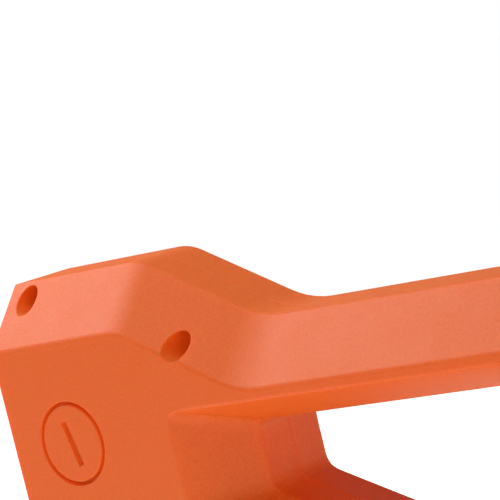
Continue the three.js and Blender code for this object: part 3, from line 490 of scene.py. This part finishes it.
def merged_copy(node: str) -> bmesh.types.BMesh:
    """Copies a CAD node's mesh with its loose triangles joined and its flat faces made whole."""
    work = bmesh.new()
    work.from_mesh(frame["nodes"][node].data)
    bmesh.ops.remove_doubles(work, verts=work.verts, dist=JOIN_REACH)
    bmesh.ops.dissolve_limit(work, angle_limit=FLAT_ANGLE, verts=work.verts, edges=work.edges)
    bmesh.ops.recalc_face_normals(work, faces=work.faces)
    return work


class Skin:
    """Tells which edges of some CAD nodes can be seen from outside."""

    def __init__(self, *nodes: str, reach: float = 400 * MM, lift: float = 0.2 * MM) -> None:
        """Gathers the nodes' surfaces.

        Args:
            nodes: CAD nodes that can hide an edge.
            reach: how far a look outwards goes.
            lift: how far off the edge it starts.
        """
        whole = bmesh.new()
        for node in nodes:
            whole.from_mesh(frame["nodes"][node].data)
        self.tree = BVHTree.FromBMesh(whole)
        whole.free()
        self.reach = reach
        self.lift = lift

    def shows(self, edge: bmesh.types.BMEdge) -> bool:
        """Looks outwards from an edge's middle and returns whether nothing is in the way."""
        heading = sum((face.normal for face in edge.link_faces), Vector()).normalized()
        middle = (edge.verts[0].co + edge.verts[1].co) / 2
        return self.tree.ray_cast(middle + heading * self.lift, heading, self.reach)[0] is None


def soften(node: str, width: float, name: str, crease: float = 24.0, segments: int = 3,
           share: Callable[[bmesh.types.BMEdge], float] | None = None,
           adjust: Callable[[bmesh.types.BMesh], None] | None = None,
           slide: bool = True) -> Piece:
    """Makes a copy of a CAD node with moulded, rounded edges.

    Args:
        node: the CAD node.
        width: width of the rounding in metres.
        name: the new piece's name.
        crease: edges that turn by more than this many degrees are rounded.
        segments: faces across each rounding.
        share: gives an edge's share of the width, from 0 to 1.
        adjust: changes the joined copy before it is rounded.
        slide: lets the rounding slide along edges that it doesn't round.

    Returns:
        The softened piece.
    """
    work = merged_copy(node)
    if adjust:
        adjust(work)
    weights = work.edges.layers.float.new("bevel_weight_edge")
    for edge in work.edges:
        if len(edge.link_faces) != 2 or edge.calc_face_angle(0) < math.radians(crease):
            continue
        edge[weights] = share(edge) if share else 1.0
        edge.smooth = edge[weights] > 0
    for face in work.faces:
        face.smooth = True
    mesh = bpy.data.meshes.new(name)
    work.to_mesh(mesh)
    work.free()
    piece = new_object(name, mesh)
    bevel = piece.modifiers.new("rounding", "BEVEL")
    bevel.limit_method = "WEIGHT"
    bevel.width = width
    bevel.segments = segments
    bevel.use_clamp_overlap = share is None
    bevel.face_strength_mode = "FSTR_ALL"
    bevel.loop_slide = slide
    weighted = piece.modifiers.new("shading", "WEIGHTED_NORMAL")
    weighted.keep_sharp = True
    weighted.use_face_influence = True
    return settle(piece)


# ---------------------------------------------------------------- rules
class Rule:
    """A Geometry Nodes tree with named inputs, for what repeats or follows a path."""

    def __init__(self, name: str, sizes: dict[str, float | int]) -> None:
        """Starts a tree.

        Args:
            name: the tree's name.
            sizes: its inputs and their values, whole numbers for counts.
        """
        self.name = name
        self.tree = bpy.data.node_groups.new(name, "GeometryNodeTree")
        ends = self.tree.interface
        ends.new_socket(name="Geometry", in_out="OUTPUT", socket_type="NodeSocketGeometry")
        ends.new_socket(name="Spots", in_out="INPUT", socket_type="NodeSocketGeometry")
        self.values: dict[str, float | int] = {}
        for label, value in sizes.items():
            kind = "NodeSocketInt" if isinstance(value, int) else "NodeSocketFloat"
            socket = ends.new_socket(name=label, in_out="INPUT", socket_type=kind)
            self.values[socket.identifier] = value
        self.inputs = self.tree.nodes.new("NodeGroupInput").outputs
        self.result = self.tree.nodes.new("NodeGroupOutput").inputs["Geometry"]

    def feed(self, socket: Socket, value: object) -> None:
        """Wires a socket to another, or sets it to a constant."""
        if isinstance(value, bpy.types.NodeSocket):
            self.tree.links.new(value, socket)
        else:
            socket.default_value = value

    def node(self, kind: str, settings: dict[str, object] | None = None,
             **inputs: object) -> bpy.types.Node:
        """Adds a node and fills its inputs.

        Args:
            kind: the node's type.
            settings: properties of the node.
            inputs: sockets or constants, with _ standing for a space in an input's name.

        Returns:
            The node.
        """
        node = self.tree.nodes.new(kind)
        for key, value in (settings or {}).items():
            setattr(node, key, value)
        for key, value in inputs.items():
            self.feed(node.inputs[key.replace("_", " ")], value)
        return node

    def sum(self, operation: str, first: object, second: object) -> Socket:
        """Does one sum on two numbers and returns its result."""
        node = self.node("ShaderNodeMath", {"operation": operation})
        self.feed(node.inputs[0], first)
        self.feed(node.inputs[1], second)
        return node.outputs[0]

    def vector(self, x: object = 0.0, y: object = 0.0, z: object = 0.0) -> Socket:
        """Joins three numbers into a vector."""
        return self.node("ShaderNodeCombineXYZ", X=x, Y=y, Z=z).outputs[0]

    def bar(self, x: object, y: object, z: object) -> Socket:
        """Makes a block with the given sides."""
        return self.node("GeometryNodeMeshCube", Size=self.vector(x, y, z)).outputs["Mesh"]

    def rod(self, radius: object, depth: object, sides: int = 32) -> Socket:
        """Makes a rod along Z about its own middle."""
        rod = self.node("GeometryNodeMeshCylinder", Vertices=sides, Radius=radius, Depth=depth)
        return rod.outputs["Mesh"]

    def moved(self, shape: Socket, spot: object = (0, 0, 0), turn: object = (0, 0, 0)) -> Socket:
        """Moves and turns a shape and returns it."""
        node = self.node("GeometryNodeTransform", Geometry=shape, Translation=spot, Rotation=turn)
        return node.outputs["Geometry"]

    def joined(self, *shapes: Socket) -> Socket:
        """Puts shapes together."""
        node = self.node("GeometryNodeJoinGeometry")
        for shape in shapes:
            self.tree.links.new(shape, node.inputs["Geometry"])
        return node.outputs["Geometry"]

    def carved(self, shape: Socket, *cutters: Socket) -> Socket:
        """Takes cutters away from a shape."""
        node = self.node("GeometryNodeMeshBoolean", {"operation": "DIFFERENCE"}, Mesh_1=shape)
        for cutter in cutters:
            self.tree.links.new(cutter, node.inputs["Mesh 2"])
        return node.outputs["Mesh"]

    def repeated(self, points: Socket, shape: Socket, facing: bool = False) -> Socket:
        """Repeats a shape on points.

        Args:
            points: where the copies go.
            shape: what is copied.
            facing: whether each copy turns its X axis away from the middle.

        Returns:
            The copies.
        """
        node = self.node("GeometryNodeInstanceOnPoints", Points=points, Instance=shape)
        if facing:
            place = self.node("GeometryNodeInputPosition").outputs[0]
            align = self.node("FunctionNodeAlignRotationToVector", {"axis": "X"}, Vector=place)
            self.tree.links.new(align.outputs[0], node.inputs["Rotation"])
        return node.outputs["Instances"]

    def ring_of(self, count: object, radius: object) -> Socket:
        """Makes points round a circle about Z."""
        return self.node("GeometryNodeMeshCircle", Vertices=count, Radius=radius).outputs["Mesh"]

    def row_of(self, count: object, step: object) -> Socket:
        """Makes points in a row from the origin."""
        return self.node("GeometryNodeMeshLine", Count=count, Offset=step).outputs["Mesh"]

    def make(self, name: str, shape: Socket, slot: Slot, spots: Sequence[Vector] = (),
             smooth: bool = True) -> Piece:
        """Ends the tree and turns its result into a plain piece.

        Args:
            name: the piece's name.
            shape: the tree's last shape.
            slot: the material slot that it is dressed in.
            spots: points that the tree can read.
            smooth: whether its faces are shaded smooth by angle.

        Returns:
            The piece.
        """
        real = self.node("GeometryNodeRealizeInstances", Geometry=shape)
        dressed = self.node("GeometryNodeSetMaterial", Geometry=real.outputs["Geometry"],
                            Material=PAINTS.of(slot))
        self.tree.links.new(dressed.outputs["Geometry"], self.result)
        mesh = bpy.data.meshes.new(name)
        mesh.from_pydata([tuple(spot) for spot in spots], [], [])
        piece = new_object(name, mesh)
        rule = piece.modifiers.new(self.name, "NODES")
        rule.node_group = self.tree
        for identifier, value in self.values.items():
            rule[identifier] = value
        settle(piece)
        work = bmesh.new()
        work.from_mesh(piece.data)
        bmesh.ops.remove_doubles(work, verts=work.verts, dist=RULE_JOIN_REACH)
        bmesh.ops.recalc_face_normals(work, faces=work.faces)
        for face in work.faces:
            face.smooth = smooth
        for edge in work.edges:
            edge.smooth = len(edge.link_faces) == 2 and edge.calc_face_angle(0) < SHARP_ANGLE
        work.to_mesh(piece.data)
        work.free()
        return piece


# ---------------------------------------------------------------- studio
@dataclass
class Studio:
    """Pale sweep, soft lights and the camera."""

    eye: Vector = field(default_factory=lambda: Vector((0.44005, -0.53301, 0.21556)))
    target: Vector = field(default_factory=lambda: Vector((-0.02037, -0.024, 0.17354)))
    middle: Vector = field(default_factory=lambda: Vector((0, 0, 0.12)))
    roll: float = -14.016
    lens: float = 216.0
    sensor: float = 36.0
    floor_size: float = 30.0
    room_light: float = 0.3
    floor_glow: float = 0.74

    def light(self, name: str, power: float, size: float, place: Sequence[float],
              tint: Colour = (1, 1, 1)) -> None:
        """Adds a square soft light that points at the tool.

        Args:
            name: the light's name.
            power: watts.
            size: side in metres.
            place: where it hangs.
            tint: its colour.
        """
        spot = Vector(place)
        data = bpy.data.lights.new(name, "AREA")
        data.energy = power
        data.size = size
        data.color = tint
        lamp = bpy.data.objects.new(name, data)
        lamp.location = spot
        lamp.rotation_euler = (self.middle - spot).to_track_quat("-Z", "Y").to_euler()
        bpy.context.scene.collection.objects.link(lamp)

    def floor(self) -> None:
        """Lays the floor."""
        half = self.floor_size / 2
        mesh = bpy.data.meshes.new("floor")
        corners = [(-half, -half, 0), (half, -half, 0), (half, half, 0), (-half, half, 0)]
        mesh.from_pydata(corners, [], [(0, 1, 2, 3)])
        piece = new_object("floor", mesh)
        shader = Shader("pale_floor")
        shader.set(Base_Color=(0.9, 0.9, 0.9, 1), Roughness=0.9, Specular_IOR_Level=0.1)
        shader.set(Emission_Color=(1, 1, 1, 1), Emission_Strength=self.floor_glow)
        mesh.materials.append(shader.material)

    def camera(self) -> None:
        """Places the camera with its roll."""
        data = bpy.data.cameras.new("camera")
        data.lens = self.lens
        data.sensor_width = self.sensor
        data.clip_start = 0.01
        data.clip_end = 50
        camera = bpy.data.objects.new("camera", data)
        turn = (self.target - self.eye).to_track_quat("-Z", "Y")
        roll = Matrix.Rotation(math.radians(self.roll), 4, "Z")
        camera.matrix_world = Matrix.Translation(self.eye) @ turn.to_matrix().to_4x4() @ roll
        bpy.context.scene.collection.objects.link(camera)
        bpy.context.scene.camera = camera

    def world(self) -> None:
        """Surrounds the tool with a white room that is softer than it looks."""
        world = bpy.data.worlds.new("white_room")
        world.use_nodes = True
        tree = world.node_tree
        seen = tree.nodes["Background"]
        seen.inputs["Color"].default_value = (1, 1, 1, 1)
        seen.inputs["Strength"].default_value = 1.0
        glow = tree.nodes.new("ShaderNodeBackground")
        glow.inputs["Color"].default_value = (1, 1, 1, 1)
        glow.inputs["Strength"].default_value = self.room_light
        path = tree.nodes.new("ShaderNodeLightPath")
        mix = tree.nodes.new("ShaderNodeMixShader")
        tree.links.new(path.outputs["Is Camera Ray"], mix.inputs["Fac"])
        tree.links.new(glow.outputs["Background"], mix.inputs[1])
        tree.links.new(seen.outputs["Background"], mix.inputs[2])
        tree.links.new(mix.outputs["Shader"], tree.nodes["World Output"].inputs["Surface"])
        bpy.context.scene.world = world

    def build(self) -> None:
        """Builds everything that isn't the tool."""
        scene = bpy.context.scene
        scene.view_settings.view_transform = "Standard"
        scene.view_settings.look = "None"
        self.world()
        self.floor()
        self.light("overhead", 6.0, 0.8, (0.25, 0.05, 1.2), (0.80, 1.0, 0.80))
        self.light("rear_box", 3.5, 0.34, (-0.52, -0.06, 0.62))
        self.light("front_fill", 1.9, 0.6, (1.15, -0.45, 0.4))
        self.light("side_fill", 1.3, 0.9, (0.75, -1.0, 0.55), (1.0, 0.76, 0.76))
        self.camera()


# ---------------------------------------------------------------- housing
SCREWS = [f"housing_screw_{index}" for index in range(1, 7)]


@dataclass
class Housing:
    """The two orange halves with their louvres."""

    crease: float = 0.8 * MM
    hole_share: float = 0.35
    seam_share: float = 0.45
    seam_half: float = 0.035 * MM
    louvre: Vector = field(default_factory=lambda: Vector((0.8, 1.1, 11.4)) * MM)
    louvre_pitch: float = 5.2 * MM
    louvre_turn: float = math.radians(38)
    louvre_stretch: float = 2.2
    louvre_gap: float = 5.3 * MM
    louvre_lift: float = 1 * MM
    louvre_sink: float = 1.1
    wall: float = 2.6 * MM
    opening_corner: Vector = field(default_factory=lambda: Vector((-51.5, -24.0, 135.5)) * MM)
    corner_reach: float = 13 * MM
    screw_reach: float = 4.4 * MM
    cap_rim: float = 1.9 * MM
    seam_reach: float = 0.2 * MM
    seam_edge_reach: float = 1 * MM
    short_edge: float = 0.5 * MM

    def holes(self) -> list[tuple[Vector, float]]:
        """Lists the places with little rounding by their middle and how far each reaches.

        They are the screw holes, the cap holes and the hand opening's lower rear corner.
        """
        screws = [span_of(node)[2] for node in SCREWS]
        spots = [(middle, self.screw_reach) for middle in screws]
        for side in ("near", "far"):
            low, high, middle = span_of(f"brush_cap_{side}")
            spots.append((middle, (high.x - low.x) / 2 + self.cap_rim))
        spots.append((self.opening_corner, self.corner_reach))
        return spots

    def close_seam(self, work: bmesh.types.BMesh) -> None:
        """Brings the half's edge almost up to the seam."""
        for vert in work.verts:
            if abs(vert.co.y) < self.seam_reach:
                vert.co.y = math.copysign(self.seam_half, vert.co.y)

    def build(self) -> None:
        """Makes both halves."""
        holes = self.holes()
        skin = Skin("housing_near", "housing_far")

        def share(edge: bmesh.types.BMEdge) -> float:
            """Gives little rounding to holes and seam, and none to what can't be seen."""
            if not skin.shows(edge):
                return 0.0
            ends = [vert.co for vert in edge.verts]
            if all(abs(end.y) < self.seam_edge_reach for end in ends):
                return self.seam_share
            for middle, reach in holes:
                if all(math.hypot(end.x - middle.x, end.z - middle.z) < reach for end in ends):
                    return self.hole_share
            return self.hole_share if edge.calc_length() < self.short_edge else 1.0

        for side in ("near", "far"):
            node = f"housing_{side}"
            piece = soften(node, self.crease, f"{node}_moulding", 15, 3, share,
                           self.close_seam, slide=side == "near")
            finish_piece(piece, Slot.ORANGE, BODY, [node])
        self.louvres()

    def louvres(self) -> None:
        """Sets slanted blades behind the exhaust slots of both flanks."""
        fan_low, fan_high, _ = span_of("motor_fan")
        flank = span_of("housing_near")[0].y
        rule = Rule("louvres", {"Count": 5, "Pitch": self.louvre_pitch, "Thick": self.louvre.x,
                                "Deep": self.louvre.y * self.louvre_stretch,
                                "High": self.louvre.z})
        bar = rule.bar(rule.inputs["Thick"], rule.inputs["Deep"], rule.inputs["High"])
        blade = rule.moved(bar, turn=(0, 0, self.louvre_turn))
        line = rule.row_of(rule.inputs["Count"], rule.vector(rule.inputs["Pitch"]))
        row = rule.repeated(line, blade)
        start = fan_high.x + self.louvre_gap
        height = (fan_low.z + fan_high.z) / 2 + self.louvre_lift
        near = rule.moved(row, (start, flank + self.wall * self.louvre_sink, height))
        far = rule.moved(row, (start, -flank - self.wall * self.louvre_sink, height))
        both = rule.joined(near, far)
        finish_piece(rule.make("exhaust_louvres", both, Slot.ORANGE, smooth=False), Slot.ORANGE)


@dataclass
class Fasteners:
    """The countersunk cross screws of the housing."""

    head_height: float = 2.2 * MM
    head_taper: float = 0.84
    shank_share: float = 0.58
    shank_length: float = 9 * MM
    cross_reach: float = 1.5 * MM
    cross_width: float = 0.75 * MM
    cross_depth: float = 1.3 * MM
    cutter_depth: float = 1.4

    def build(self) -> None:
        """Makes the six housing screws as one piece."""
        spots = []
        for node in SCREWS:
            low, _, middle = span_of(node)
            spots.append(Vector((middle.x, low.y, middle.z)))
        low, high, _ = span_of(SCREWS[0])
        radius = (high.x - low.x) / 2
        rule = Rule("cross_screws", {"Head Radius": radius, "Head Height": self.head_height,
                                     "Shank Radius": radius * self.shank_share,
                                     "Shank Length": self.shank_length,
                                     "Cross Reach": self.cross_reach,
                                     "Cross Width": self.cross_width,
                                     "Cross Depth": self.cross_depth})
        height = rule.inputs["Head Height"]
        tip = rule.sum("MULTIPLY", rule.inputs["Head Radius"], self.head_taper)
        head = rule.node("GeometryNodeMeshCone", Vertices=28, Depth=height, Radius_Top=tip,
                         Radius_Bottom=rule.inputs["Head Radius"]).outputs["Mesh"]
        top = rule.sum("SUBTRACT", height, rule.sum("MULTIPLY", rule.inputs["Cross Depth"], 0.5))
        short_side = rule.inputs["Cross Width"]
        long_side = rule.sum("MULTIPLY", rule.inputs["Cross Reach"], 2.0)
        deep = rule.sum("MULTIPLY", rule.inputs["Cross Depth"], self.cutter_depth)
        bars = [rule.moved(rule.bar(x, y, deep), rule.vector(0.0, 0.0, top))
                for x, y in ((long_side, short_side), (short_side, long_side))]
        carved = rule.carved(head, *bars)
        shank_middle = rule.sum("MULTIPLY", rule.inputs["Shank Length"], -0.5)
        shank = rule.moved(rule.rod(rule.inputs["Shank Radius"], rule.inputs["Shank Length"], 16),
                           rule.vector(0.0, 0.0, shank_middle))
        screw = rule.moved(rule.joined(carved, shank), turn=(math.pi / 2, 0, 0))
        sunk = rule.moved(screw, (0, self.head_height, 0))
        screws = rule.repeated(rule.inputs["Spots"], sunk)
        finish_piece(rule.make("housing_screws", screws, Slot.STEEL, spots),
                     Slot.STEEL, BODY, SCREWS)


@dataclass
class CordGland:
    """The ribbed rubber sleeve at the cord entry."""

    ribs: int = 6
    rib_width: float = 1.1 * MM
    rib_depth: float = 0.7 * MM
    rib_span: float = 12 * MM
    rib_start: float = 1 * MM
    bore: float = 2.6 * MM

    def build(self) -> None:
        """Makes the sleeve with rings along it."""
        low, high, middle = span_of("cord_gland")
        radius = (high.z - low.z) / 2
        rule = Rule("gland_ribs", {"Ribs": self.ribs, "Radius": radius,
                                   "Length": high.x - low.x, "Bore": self.bore,
                                   "Rib Width": self.rib_width, "Rib Depth": self.rib_depth})
        slim = rule.sum("SUBTRACT", rule.inputs["Radius"], rule.inputs["Rib Depth"])
        pitch = rule.sum("DIVIDE", self.rib_span, rule.inputs["Ribs"])
        disc = rule.rod(rule.inputs["Radius"], rule.inputs["Rib Width"], 40)
        ring = rule.carved(disc, rule.rod(slim, 10 * MM, 40))
        line = rule.row_of(rule.inputs["Ribs"], rule.vector(0.0, 0.0, pitch))
        rings = rule.repeated(line, ring)
        base = rule.sum("ADD", rule.sum("MULTIPLY", rule.inputs["Length"], -0.5), self.rib_start)
        bore = rule.rod(rule.inputs["Bore"], 50 * MM, 24)
        sleeve = rule.carved(rule.rod(slim, rule.inputs["Length"], 40), bore)
        whole = rule.joined(sleeve, rule.moved(rings, rule.vector(0.0, 0.0, base)))
        placed = rule.moved(whole, tuple(middle), (0, math.pi / 2, 0))
        finish_piece(rule.make("cord_gland_ribbed", placed, Slot.RUBBER),
                     Slot.RUBBER, BODY, ["cord_gland"])


# ---------------------------------------------------------------- running gear
@dataclass
class SandingBelt:
    """The endless abrasive belt round both rollers."""

    corner_chords: int = 24
    thickness: float = 1.2 * MM
    corner_share: float = 0.4999

    def build(self) -> None:
        """Makes the belt as a strip that follows a rounded path."""
        low, high, middle = span_of("sanding_belt")
        rule = Rule("belt_path", {"Length": high.x - low.x - self.thickness,
                                  "Height": high.z - low.z - self.thickness,
                                  "Belt Width": high.y - low.y, "Thickness": self.thickness,
                                  "Corner Chords": self.corner_chords})
        loop = rule.node("GeometryNodeCurvePrimitiveQuadrilateral",
                         Width=rule.inputs["Length"], Height=rule.inputs["Height"])
        radius = rule.sum("MULTIPLY", rule.inputs["Height"], self.corner_share)
        round_loop = rule.node("GeometryNodeFilletCurve", {"mode": "POLY"},
                               Curve=loop.outputs["Curve"], Radius=radius,
                               Count=rule.inputs["Corner Chords"])
        strip = rule.node("GeometryNodeCurvePrimitiveQuadrilateral",
                          Width=rule.inputs["Thickness"], Height=rule.inputs["Belt Width"])
        band = rule.node("GeometryNodeCurveToMesh", Curve=round_loop.outputs["Curve"],
                         Profile_Curve=strip.outputs["Curve"])
        placed = rule.moved(band.outputs["Mesh"], tuple(middle), (math.pi / 2, 0, 0))
        finish_piece(rule.make("sanding_belt_loop", placed, Slot.GRIT),
                     Slot.GRIT, BODY, ["sanding_belt"])


@dataclass
class RibbedWheel:
    """A knob or dial on the Y axis with fine ribs round its rim."""

    node: str
    name: str
    body: str
    ribs: int
    rib_width: float
    rib_depth: float
    low_y: float
    high_y: float
    pin_radius: float
    face_recess: float = 0.8 * MM
    dish_share: float = 0.74
    rib_margin: float = 0.6 * MM

    def build(self) -> None:
        """Makes the wheel, its ribs and its pin."""
        low, high, middle = span_of(self.node)
        radius = (high.z - low.z) / 2
        rule = Rule(f"{self.name}_ribs", {"Ribs": self.ribs, "Radius": radius,
                                          "Rib Width": self.rib_width,
                                          "Rib Depth": self.rib_depth,
                                          "Width": self.high_y - self.low_y,
                                          "Pin Radius": self.pin_radius,
                                          "Pin Length": high.y - low.y})
        hub_radius = rule.sum("SUBTRACT", rule.inputs["Radius"], rule.inputs["Rib Depth"])
        hub = rule.rod(hub_radius, rule.inputs["Width"], 72)
        dish_radius = rule.sum("MULTIPLY", hub_radius, self.dish_share)
        dish = rule.rod(dish_radius, self.face_recess * 2, 48)
        half = rule.sum("MULTIPLY", rule.inputs["Width"], 0.5)
        carved = rule.carved(hub, rule.moved(dish, rule.vector(0.0, 0.0, half)))
        rib_long = rule.sum("SUBTRACT", rule.inputs["Width"], self.rib_margin)
        rib_thick = rule.sum("MULTIPLY", rule.inputs["Rib Depth"], 2.0)
        rib = rule.bar(rib_thick, rule.inputs["Rib Width"], rib_long)
        spots = rule.ring_of(rule.inputs["Ribs"], hub_radius)
        ribs = rule.repeated(spots, rib, facing=True)
        place = (middle.x, (self.low_y + self.high_y) / 2, middle.z)
        wheel = rule.moved(rule.joined(carved, ribs), place, (-math.pi / 2, 0, 0))
        stem = rule.rod(rule.inputs["Pin Radius"], rule.inputs["Pin Length"], 24)
        pin = rule.moved(stem, tuple(middle), (math.pi / 2, 0, 0))
        piece = rule.make(self.name, rule.joined(wheel, pin), Slot.BLACK)
        finish_piece(piece, Slot.BLACK, self.body, [self.node])


@dataclass(frozen=True)
class SoftPart:
    """A CAD node that only needs rounded edges and its finish."""

    node: str
    body: str
    slot: Slot
    width: float = 0.4 * MM
    crease: float = 30.0

    def build(self) -> None:
        """Makes the rounded copy."""
        piece = soften(self.node, self.width, f"{self.node}_finished", self.crease, 2)
        finish_piece(piece, self.slot, self.body, [self.node])


SOFT_PARTS = (
    SoftPart("brush_cap_near", BODY, Slot.ORANGE, 0.3 * MM),
    SoftPart("brush_cap_far", BODY, Slot.ORANGE, 0.3 * MM),
    SoftPart("chassis", BODY, Slot.CAST, 0.8 * MM),
    SoftPart("belt_cover", BODY, Slot.BLACK, 1.0 * MM),
    SoftPart("dust_hood", BODY, Slot.BLACK, 1.0 * MM),
    SoftPart("lever_pin", BODY, Slot.STEEL, 0.3 * MM),
    SoftPart("cover_screw", BODY, Slot.STEEL, 0.25 * MM),
    SoftPart("yoke", "yoke_unit", Slot.CAST, 0.6 * MM),
    SoftPart("front_axle", "yoke_unit", Slot.STEEL, 0.3 * MM),
    SoftPart("front_roller", "front_roller_unit", Slot.CAST, 0.5 * MM),
    SoftPart("drive_roller_tyre", "drive_roller_unit", Slot.TYRE, 0.4 * MM),
    SoftPart("tension_lever", "tension_lever_unit", Slot.BLACK, 0.6 * MM),
    SoftPart("trigger", "trigger_unit", Slot.BLACK, 0.8 * MM),
    SoftPart("lock_button", "lock_button_unit", Slot.BLACK, 0.5 * MM),
)


class Wheels:
    """The tracking knob and the speed dial."""

    @staticmethod
    def build() -> None:
        """Makes both."""
        _, knob_high, _ = span_of("tracking_knob")
        dial_low, dial_high, _ = span_of("speed_dial")
        dial_pin = 3.5 * MM  # how far the dial's pin stands out at each end
        RibbedWheel("tracking_knob", "tracking_knob_ribbed", "tracking_knob_unit", ribs=28,
                    rib_width=0.9 * MM, rib_depth=0.6 * MM, low_y=knob_high.y - 11 * MM,
                    high_y=knob_high.y, pin_radius=2.5 * MM).build()
        RibbedWheel("speed_dial", "speed_dial_ribbed", "speed_dial_unit", ribs=36,
                    rib_width=0.6 * MM, rib_depth=0.4 * MM, low_y=dial_low.y + dial_pin,
                    high_y=dial_high.y - dial_pin, pin_radius=1.5 * MM,
                    face_recess=0.3 * MM).build()


def main() -> None:
    logging.basicConfig(level=logging.INFO, format="%(name)s %(message)s")
    record = frame["record"]
    slots = {entry["node"]: Slot(entry["material_slot"]) for entry in record["subparts"]}
    for node, slot in slots.items():
        PAINTS.dress(slot, node)
    assemblies = (Studio(), Housing(), Fasteners(), CordGland(), SandingBelt(), Wheels())
    for assembly in (*assemblies, *SOFT_PARTS):
        assembly.build()


if __name__ == "__main__":
    main()
